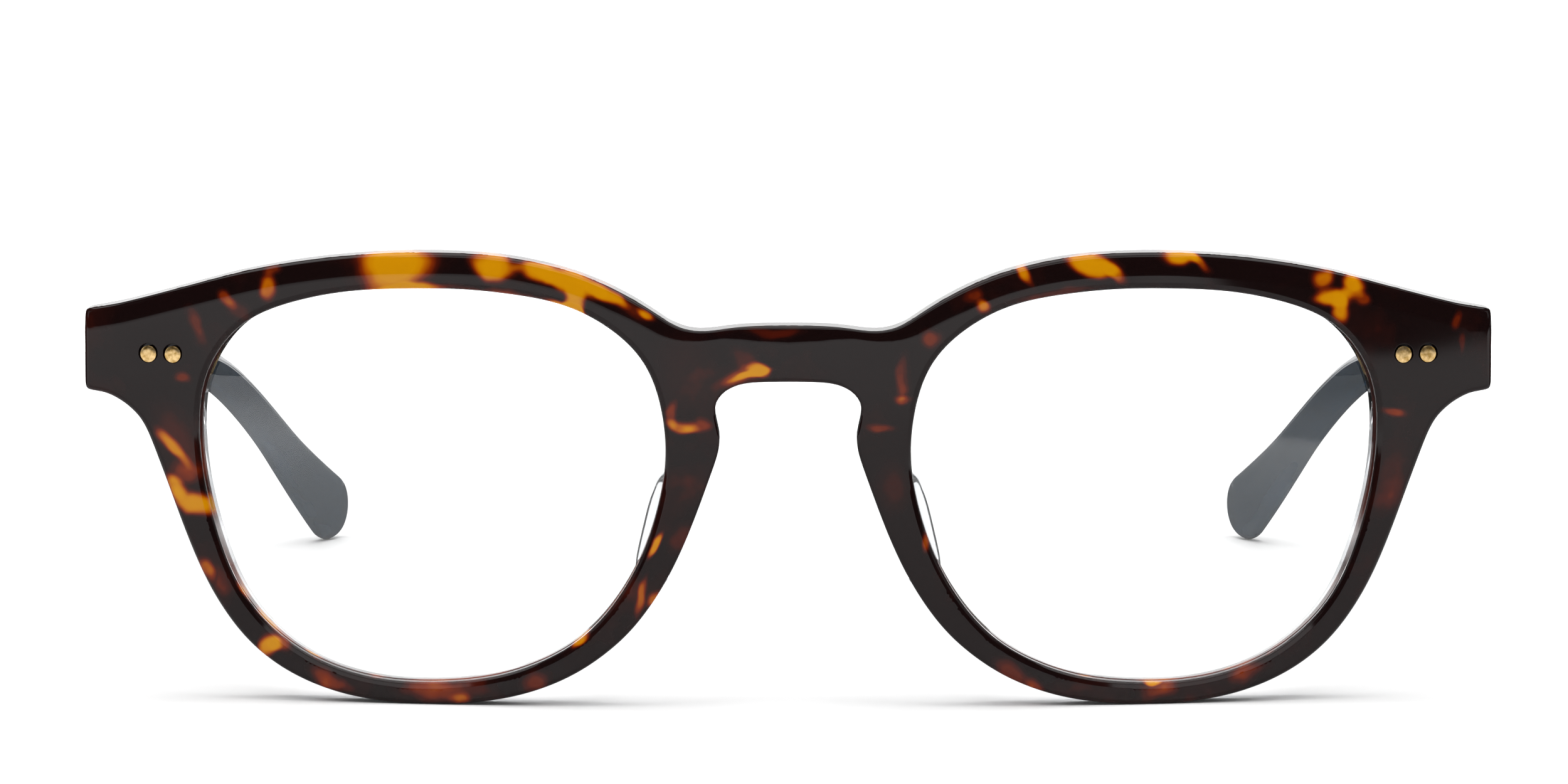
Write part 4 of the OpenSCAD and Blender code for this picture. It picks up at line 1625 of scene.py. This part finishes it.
@dataclass
class Rivets:
    """The rivets: a head with a low dome and a broken edge on a round shank."""

    front: Front
    temple: Temple
    head_r: float = 0.85
    head_t: float = 0.53
    proud: float = 0.05
    shank_r: float = 0.55
    pin_y: float = 16.7286
    barrel_r: float = 1.35
    plate_l: float = 8.4
    pitch: float = 2.55
    # How far the head's edge lies under its middle, and how far under the top the shank begins
    dome: float = 0.09
    neck: float = 0.2
    front_shank: float = 5.2
    temple_shank: float = 4.0

    def _tree(self) -> bpy.types.NodeTree:
        """One rivet on every point, turned to face the way that the point's attribute says.

        Returns:
            The Geometry Nodes tree.
        """
        sizes = ["Head radius", "Head height", "Dome", "Shank radius", "Shank length"]
        tree, given, end = node_group("rivets", sizes)
        head = add_node(
            tree,
            "GeometryNodeMeshCylinder",
            {
                "Vertices": 40,
                "Side Segments": 1,
                "Fill Segments": 7,
                "Radius": given.outputs["Head radius"],
                "Depth": given.outputs["Head height"],
            },
        )
        place = add_node(tree, "GeometryNodeInputPosition")
        axis = add_node(tree, "ShaderNodeSeparateXYZ", {0: place.outputs[0]})

        # The top falls with the fifth power of the distance from its middle
        flat = add_node(tree, "ShaderNodeCombineXYZ", {"X": axis.outputs["X"], "Y": axis.outputs["Y"]})
        reach = add_node(tree, "ShaderNodeVectorMath", {0: flat.outputs[0]}, operation="LENGTH")
        down: bpy.types.NodeSocket = reach.outputs["Value"]
        for operation, other in (
            ("DIVIDE", given.outputs["Head radius"]),
            ("POWER", 5.0),
            ("MULTIPLY", given.outputs["Dome"]),
            ("MULTIPLY", -1.0),
        ):
            down = add_node(tree, "ShaderNodeMath", {0: down, 1: other}, operation=operation).outputs[0]
        top = add_node(tree, "ShaderNodeMath", {0: axis.outputs["Z"], 1: 0.0}, operation="GREATER_THAN")
        offset = add_node(tree, "ShaderNodeCombineXYZ", {"Z": down})
        domed = add_node(
            tree,
            "GeometryNodeSetPosition",
            {"Geometry": head.outputs["Mesh"], "Selection": top.outputs[0], "Offset": offset.outputs[0]},
        )
        # The head's top comes to the origin, and the shank hangs below it
        half = add_node(
            tree, "ShaderNodeMath", {0: given.outputs["Head height"], 1: -0.5}, operation="MULTIPLY"
        )
        low = add_node(tree, "ShaderNodeCombineXYZ", {"Z": half.outputs[0]})
        lowered = add_node(
            tree, "GeometryNodeTransform", {"Geometry": domed.outputs[0], "Translation": low.outputs[0]}
        )
        shank = add_node(
            tree,
            "GeometryNodeMeshCylinder",
            {
                "Vertices": 24,
                "Radius": given.outputs["Shank radius"],
                "Depth": given.outputs["Shank length"],
            },
        )
        hang = add_node(
            tree,
            "ShaderNodeMath",
            {0: given.outputs["Shank length"], 1: -0.5, 2: -self.neck * MM},
            operation="MULTIPLY_ADD",
        )
        under = add_node(tree, "ShaderNodeCombineXYZ", {"Z": hang.outputs[0]})
        hung = add_node(
            tree,
            "GeometryNodeTransform",
            {"Geometry": shank.outputs["Mesh"], "Translation": under.outputs[0]},
        )
        rivet = add_node(tree, "GeometryNodeJoinGeometry", {"Geometry": lowered.outputs[0]})
        tree.links.new(hung.outputs[0], rivet.inputs[0])
        way = add_node(tree, "GeometryNodeInputNamedAttribute", {"Name": "way"}, data_type="FLOAT_VECTOR")
        turn = add_node(
            tree, "FunctionNodeAlignRotationToVector", {"Vector": way.outputs[0]}, axis="Z"
        )
        spread = add_node(
            tree,
            "GeometryNodeInstanceOnPoints",
            {"Points": given.outputs["Geometry"], "Instance": rivet.outputs[0], "Rotation": turn.outputs[0]},
        )
        close_group(tree, given, end, spread.outputs[0])
        return tree

    def _front_places(self) -> list[tuple[np.ndarray, np.ndarray]]:
        """Place and outward direction of the right end piece's two rivets.

        Returns:
            The two places, each with its direction.
        """
        made = []
        for x in self.front.rivet_x:
            way = np.array([x / self.front.bend_r, -math.sqrt(1 - (x / self.front.bend_r) ** 2), 0.0])
            y = float(self.front.bent(np.array([[x, 0.0]]), 0.0)[0])
            made.append((np.array([x, y, self.front.rivet_z]) + self.proud * way, way))
        return made

    def _temple_places(self) -> list[tuple[np.ndarray, np.ndarray]]:
        """Place and outward direction of the right temple's two rivets.

        Returns:
            The two places, each with its direction.
        """
        made = []
        plate_y = self.pin_y + self.barrel_r + 0.25
        lean = math.radians(self.temple.close_a)
        for i in (-0.5, 0.5):
            y = plate_y + self.plate_l * 0.55 + i * self.pitch * 1.3
            thick = float(self.temple.thick(np.array([y]))[0])
            inner = float(self.temple.inner_x(np.array([y]))[0])
            way = np.array([math.cos(lean), math.sin(lean), 0.0])
            z = self.temple.start_z - (y - self.temple.start_y) * math.tan(self.temple.tilt)
            made.append((np.array([inner, y, z]) + (thick + self.proud) * way, way))
        return made

    def build(self, shift: float, material: bpy.types.Material) -> list[bpy.types.Object]:
        """Makes the rivets, one piece for each pair.

        Args:
            shift: what brings a distance behind the front's face to the frame's Y.
            material: the brass.

        Returns:
            The four pieces.
        """
        tree = self._tree()
        made = []
        jobs = (
            ("front", self._front_places(), self.front_shank),
            ("temple", self._temple_places(), self.temple_shank),
        )
        for part, places, shank in jobs:
            for side in Side:
                flip = np.array([-1.0 if side is Side.LEFT else 1.0, 1.0, 1.0])
                mesh = bpy.data.meshes.new(f"{part}_rivet_places_{side.value}")
                spots = [(p * flip + np.array([0, shift, 0])) * MM for p, _ in places]
                mesh.from_pydata([tuple(s) for s in spots], [], [])
                way = mesh.attributes.new("way", "FLOAT_VECTOR", "POINT")
                way.data.foreach_set("vector", np.array([w * flip for _, w in places]).ravel())
                values = {
                    "Head radius": self.head_r * MM,
                    "Head height": self.head_t * MM,
                    "Dome": self.dome * MM,
                    "Shank radius": self.shank_r * MM,
                    "Shank length": shank * MM,
                    "Material": material,
                }
                piece = grown_mesh(f"{side.value}_{part}_rivets", mesh, tree, values)
                piece.data.shade_smooth()
                piece.data.set_sharp_from_angle(angle=math.radians(35))
                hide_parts(f"{part}_rivets_{side.value}")
                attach(piece, "front" if part == "front" else f"temple_{side.value}")
                made.append(piece)
        return made


@dataclass
class Hinges:
    """The five-knuckle hinges, their screws and the core wires keep their solids and get their metals."""

    brass_nodes: tuple[str, ...] = ("hinge_front", "hinge_temple", "hinge_screw")
    steel_nodes: tuple[str, ...] = ("core_wire",)

    def dress(self, brass: bpy.types.Material, steel: bpy.types.Material) -> list[str]:
        """Gives the solids their materials.

        Args:
            brass: the hinge metal.
            steel: the wire metal.

        Returns:
            The names of the nodes.
        """
        done = []
        for names, material in ((self.brass_nodes, brass), (self.steel_nodes, steel)):
            for name in names:
                for side in Side:
                    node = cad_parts[f"{name}_{side.value}"]
                    node.data.materials.clear()
                    node.data.materials.append(material)
                    done.append(node.name)
        return done


# ---------------------------------------------------------------------------------------------------------
# The studio
# ---------------------------------------------------------------------------------------------------------


@dataclass
class Studio:
    """A white table in a white room, lit by soft lamps.

    The gloss alone sees something else: a dark room, a table that is dark behind the front, a black card on
    it at the right, and a white sheet straight behind the object.
    """

    focal_px: float = 12363.0
    picture_w: float = 2500.0
    sensor: float = 36.0
    away: float = 780.0
    height: float = 106.8
    pitch: float = 5.463
    side_px: float = 6.75
    floor_glow: float = 0.02
    sweep_dark: float = 0.985
    # Y over which the table darkens in the gloss, and then pales again, in metres
    sweep: tuple[float, float] = (-0.07, 0.02)
    far_table: tuple[float, float] = (0.45, 0.7)
    far_dark: float = 0.5
    # X and Y over which the black card begins, in metres, and how dark it is
    card_x: tuple[float, float] = (0.22, 0.27)
    card_y: tuple[float, float] = (-0.365, -0.395)
    card_dark: float = 0.97
    # Distances over which the table's own light takes over from the lamps, in metres
    fade: tuple[float, float] = (0.13, 0.6)
    # Half the table's width and its gap under the object, in metres, and its colour
    table_half: float = 4.0
    table_gap: float = 2e-5
    table_tone: str = "#f4f4f4"
    # The room's light on the object, and the light that the gloss sees on the camera's side and behind, with
    # the Y of the view's direction over which one goes over into the other
    room: float = 0.3
    room_ahead: float = 0.04
    room_behind: float = 0.06
    room_turn: tuple[float, float] = (-0.1, 0.5)
    # The white sheet behind the object: its edges as parts of the view's direction, and its light
    sheet_x: tuple[float, float] = (0.22, 0.14)
    sheet_z: tuple[float, float] = (0.4, 0.2)
    sheet_light: float = 1.4

    def camera(self, shift: float) -> bpy.types.Object:
        """Makes the camera at the photograph's place.

        Args:
            shift: the Y of the front's face.

        Returns:
            The camera.
        """
        data = bpy.data.cameras.new("camera")
        data.sensor_width = self.sensor
        data.lens = self.focal_px / self.picture_w * self.sensor
        data.clip_start, data.clip_end = 0.01, 20
        camera = bpy.data.objects.new("camera", data)
        x = -self.side_px / self.focal_px * self.away
        camera.location = Vector((x, shift - self.away, self.height)) * MM
        camera.rotation_euler = Euler((math.radians(90 - self.pitch), 0, 0))
        bpy.context.scene.collection.objects.link(camera)
        bpy.context.scene.camera = camera
        return camera

    def floor(self) -> bpy.types.Object:
        """Makes the table top: white but for the object's shadow, and dark behind the front in the gloss.

        Returns:
            The table top.
        """
        mesh = bpy.data.meshes.new("table_top")
        half, z = self.table_half, -self.table_gap
        corners = [(-half, -half, z), (half, -half, z), (half, half, z), (-half, half, z)]
        mesh.from_pydata(corners, [], [(0, 1, 2, 3)])
        material, tree, shader = new_material("white table")
        tree.nodes.clear()
        path = add_node(tree, "ShaderNodeLightPath")
        seen = add_node(
            tree, "ShaderNodeMath", {0: path.outputs["Is Camera Ray"], 1: path.outputs["Is Glossy Ray"]},
            operation="MAXIMUM",
        )
        seen = add_node(
            tree, "ShaderNodeMath", {0: seen.outputs[0], 1: path.outputs["Is Transmission Ray"]},
            operation="MAXIMUM",
        )
        # In the gloss the table is dark from just behind the front, and pales again far away
        place = add_node(tree, "ShaderNodeTexCoord").outputs["Object"]
        axis = add_node(tree, "ShaderNodeSeparateXYZ", {0: place})
        behind = add_node(
            tree, "ShaderNodeMapRange",
            {
                "Value": axis.outputs["Y"], "From Min": self.sweep[0], "From Max": self.sweep[1],
                "To Max": self.sweep_dark,
            },
            interpolation_type="SMOOTHSTEP",
        )
        again = add_node(
            tree, "ShaderNodeMapRange",
            {
                "Value": axis.outputs["Y"], "From Min": self.far_table[0], "From Max": self.far_table[1],
                "To Min": 1.0, "To Max": self.far_dark,
            },
            interpolation_type="SMOOTHSTEP",
        )
        behind = add_node(
            tree, "ShaderNodeMath", {0: behind.outputs[0], 1: again.outputs[0]}, operation="MULTIPLY"
        )
        # A black card lies at the right, where the gloss of the right end piece finds it
        right = add_node(
            tree, "ShaderNodeMapRange",
            {"Value": axis.outputs["X"], "From Min": self.card_x[0], "From Max": self.card_x[1]},
            interpolation_type="SMOOTHSTEP",
        )
        near = add_node(
            tree, "ShaderNodeMapRange",
            {
                "Value": axis.outputs["Y"], "From Min": self.card_y[0], "From Max": self.card_y[1],
                "To Max": self.card_dark,
            },
            interpolation_type="SMOOTHSTEP",
        )
        card = add_node(
            tree, "ShaderNodeMath", {0: right.outputs[0], 1: near.outputs[0]}, operation="MULTIPLY"
        )
        behind = add_node(
            tree, "ShaderNodeMath", {0: behind.outputs[0], 1: card.outputs[0]}, operation="MAXIMUM"
        )
        # A ray through glass counts as glossy too, and it sees the plain white table
        bounced = add_node(
            tree, "ShaderNodeMath",
            {0: path.outputs["Is Glossy Ray"], 1: path.outputs["Is Transmission Ray"]}, operation="SUBTRACT",
            use_clamp=True,
        )
        dim = add_node(
            tree, "ShaderNodeMath", {0: behind.outputs[0], 1: bounced.outputs[0]}, operation="MULTIPLY"
        )
        left = add_node(tree, "ShaderNodeMath", {0: 1.0, 1: dim.outputs[0]}, operation="SUBTRACT")
        # Far from the object the lamps fade, and the table stays white
        far = add_node(tree, "ShaderNodeVectorMath", {0: place}, operation="LENGTH")
        level = add_node(
            tree, "ShaderNodeMapRange",
            {
                "Value": far.outputs["Value"], "From Min": self.fade[0], "From Max": self.fade[1],
                "To Min": self.floor_glow, "To Max": 1.0,
            },
            interpolation_type="SMOOTHSTEP",
        )
        glow = add_node(
            tree, "ShaderNodeMath", {0: seen.outputs[0], 1: level.outputs[0]}, operation="MULTIPLY"
        )
        glow = add_node(
            tree, "ShaderNodeMath", {0: glow.outputs[0], 1: left.outputs[0]}, operation="MULTIPLY"
        )
        shine = add_node(tree, "ShaderNodeEmission", {"Strength": glow.outputs[0]})
        tone = add_node(
            tree, "ShaderNodeMix",
            {"Factor": dim.outputs[0], "A": to_linear(self.table_tone), "B": (0, 0, 0, 1)}, data_type="RGBA",
        )
        matt = add_node(tree, "ShaderNodeBsdfDiffuse", {"Color": tone.outputs[2]})
        both = add_node(tree, "ShaderNodeAddShader", {0: matt.outputs[0], 1: shine.outputs[0]})
        add_node(tree, "ShaderNodeOutputMaterial", {"Surface": both.outputs[0]})
        mesh.materials.append(material)
        floor = bpy.data.objects.new("table_top", mesh)
        bpy.context.scene.collection.objects.link(floor)
        return floor

    def world(self) -> bpy.types.World:
        """Makes the room: white to the eye and through glass, and dark in the gloss but for a white sheet.

        Returns:
            The world.
        """
        world = bpy.data.worlds.new("room")
        world.use_nodes = True
        tree = world.node_tree
        tree.nodes.clear()
        way = add_node(tree, "ShaderNodeTexCoord").outputs["Generated"]
        axis = add_node(tree, "ShaderNodeSeparateXYZ", {0: way})
        behind = add_node(
            tree, "ShaderNodeMapRange",
            {
                "Value": axis.outputs["Y"], "From Min": self.room_turn[0], "From Max": self.room_turn[1],
                "To Min": self.room_ahead, "To Max": self.room_behind,
            },
            interpolation_type="SMOOTHSTEP",
        )
        sideways = add_node(tree, "ShaderNodeMath", {0: axis.outputs["X"]}, operation="ABSOLUTE")
        middle = add_node(
            tree, "ShaderNodeMapRange",
            {
                "Value": sideways.outputs[0], "From Min": self.sheet_x[0], "From Max": self.sheet_x[1],
                "To Max": self.sheet_light,
            },
            interpolation_type="SMOOTHSTEP",
        )
        low = add_node(
            tree, "ShaderNodeMapRange",
            {"Value": axis.outputs["Z"], "From Min": self.sheet_z[0], "From Max": self.sheet_z[1]},
            interpolation_type="SMOOTHSTEP",
        )
        # In the gloss a white sheet stands straight behind the object, and the top walls mirror it
        sheet = add_node(
            tree, "ShaderNodeMath", {0: middle.outputs[0], 1: low.outputs[0]}, operation="MULTIPLY"
        )
        rear = add_node(tree, "ShaderNodeMath", {0: axis.outputs["Y"], 1: 0.0}, operation="GREATER_THAN")
        sheet = add_node(
            tree, "ShaderNodeMath", {0: sheet.outputs[0], 1: rear.outputs[0]}, operation="MULTIPLY"
        )
        behind = add_node(
            tree, "ShaderNodeMath", {0: behind.outputs[0], 1: sheet.outputs[0]}, operation="MAXIMUM"
        )
        path = add_node(tree, "ShaderNodeLightPath")
        plain = add_node(
            tree, "ShaderNodeMath",
            {0: path.outputs["Is Camera Ray"], 1: path.outputs["Is Transmission Ray"]}, operation="MAXIMUM",
        )
        soft = add_node(
            tree, "ShaderNodeMix",
            {"Factor": path.outputs["Is Glossy Ray"], "A": self.room, "B": behind.outputs[0]},
            data_type="FLOAT",
        )
        strength = add_node(
            tree, "ShaderNodeMix",
            {"Factor": plain.outputs[0], "A": soft.outputs[0], "B": 1.0}, data_type="FLOAT",
        )
        back = add_node(tree, "ShaderNodeBackground", {"Strength": strength.outputs[0]})
        add_node(tree, "ShaderNodeOutputWorld", {"Surface": back.outputs[0]})
        bpy.context.scene.world = world
        return world

    def lamps(self) -> list[bpy.types.Object]:
        """Makes the wide soft lamp overhead and the weaker ones round the object.

        Returns:
            The five lamps.
        """
        made = []
        for name, place, size, power in (
            ("overhead", (0.0, 0.0, 0.95), (1.3, 0.8), 10.0),
            ("front_fill", (0.0, -0.7, 0.75), (0.8, 0.4), 2.5),
            ("back", (0.0, 0.75, 0.32), (0.8, 0.3), 3.0),
            ("left_fill", (-1.1, -0.35, 0.55), (0.5, 0.7), 1.0),
            ("right_fill", (1.1, -0.35, 0.55), (0.5, 0.7), 1.0),
        ):
            data = bpy.data.lights.new(name, "AREA")
            data.shape = "RECTANGLE"
            data.size, data.size_y = size
            data.energy = power
            lamp = bpy.data.objects.new(name, data)
            lamp.location = Vector(place)
            lamp.rotation_euler = (Vector((0, 0, 0.02)) - Vector(place)).to_track_quat("-Z", "Y").to_euler()
            bpy.context.scene.collection.objects.link(lamp)
            made.append(lamp)
        return made


def main() -> None:
    """Builds the spectacles and the studio."""
    logging.basicConfig(level=logging.INFO, format="%(name)s: %(message)s")
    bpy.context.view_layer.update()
    temple = Temple()
    front = Front()
    shift = -temple.end_y / 2
    studio = Studio()
    studio.camera(shift)

    clear = ClearAcetate().material()
    brass = BRASS.material()
    pieces = front.build(shift, TortoiseAcetate().material(), clear)
    pieces += Lenses(front).build(shift, CoatedLens().material())
    pieces += NosePads(front).build(shift, clear)
    pieces += temple.build(shift, NavyAcetate().material())
    pieces += Rivets(front, temple).build(shift, brass)
    for piece in pieces:
        log.info("%s: %d triangles", piece.name, sum(len(p.vertices) - 2 for p in piece.data.polygons))
    log.info("carried over: %s", ", ".join(Hinges().dress(brass, STEEL.material())))

    studio.floor()
    studio.world()
    studio.lamps()
    scene = bpy.context.scene
    scene.view_settings.view_transform = "Standard"


if __name__ == "__main__":
    main()
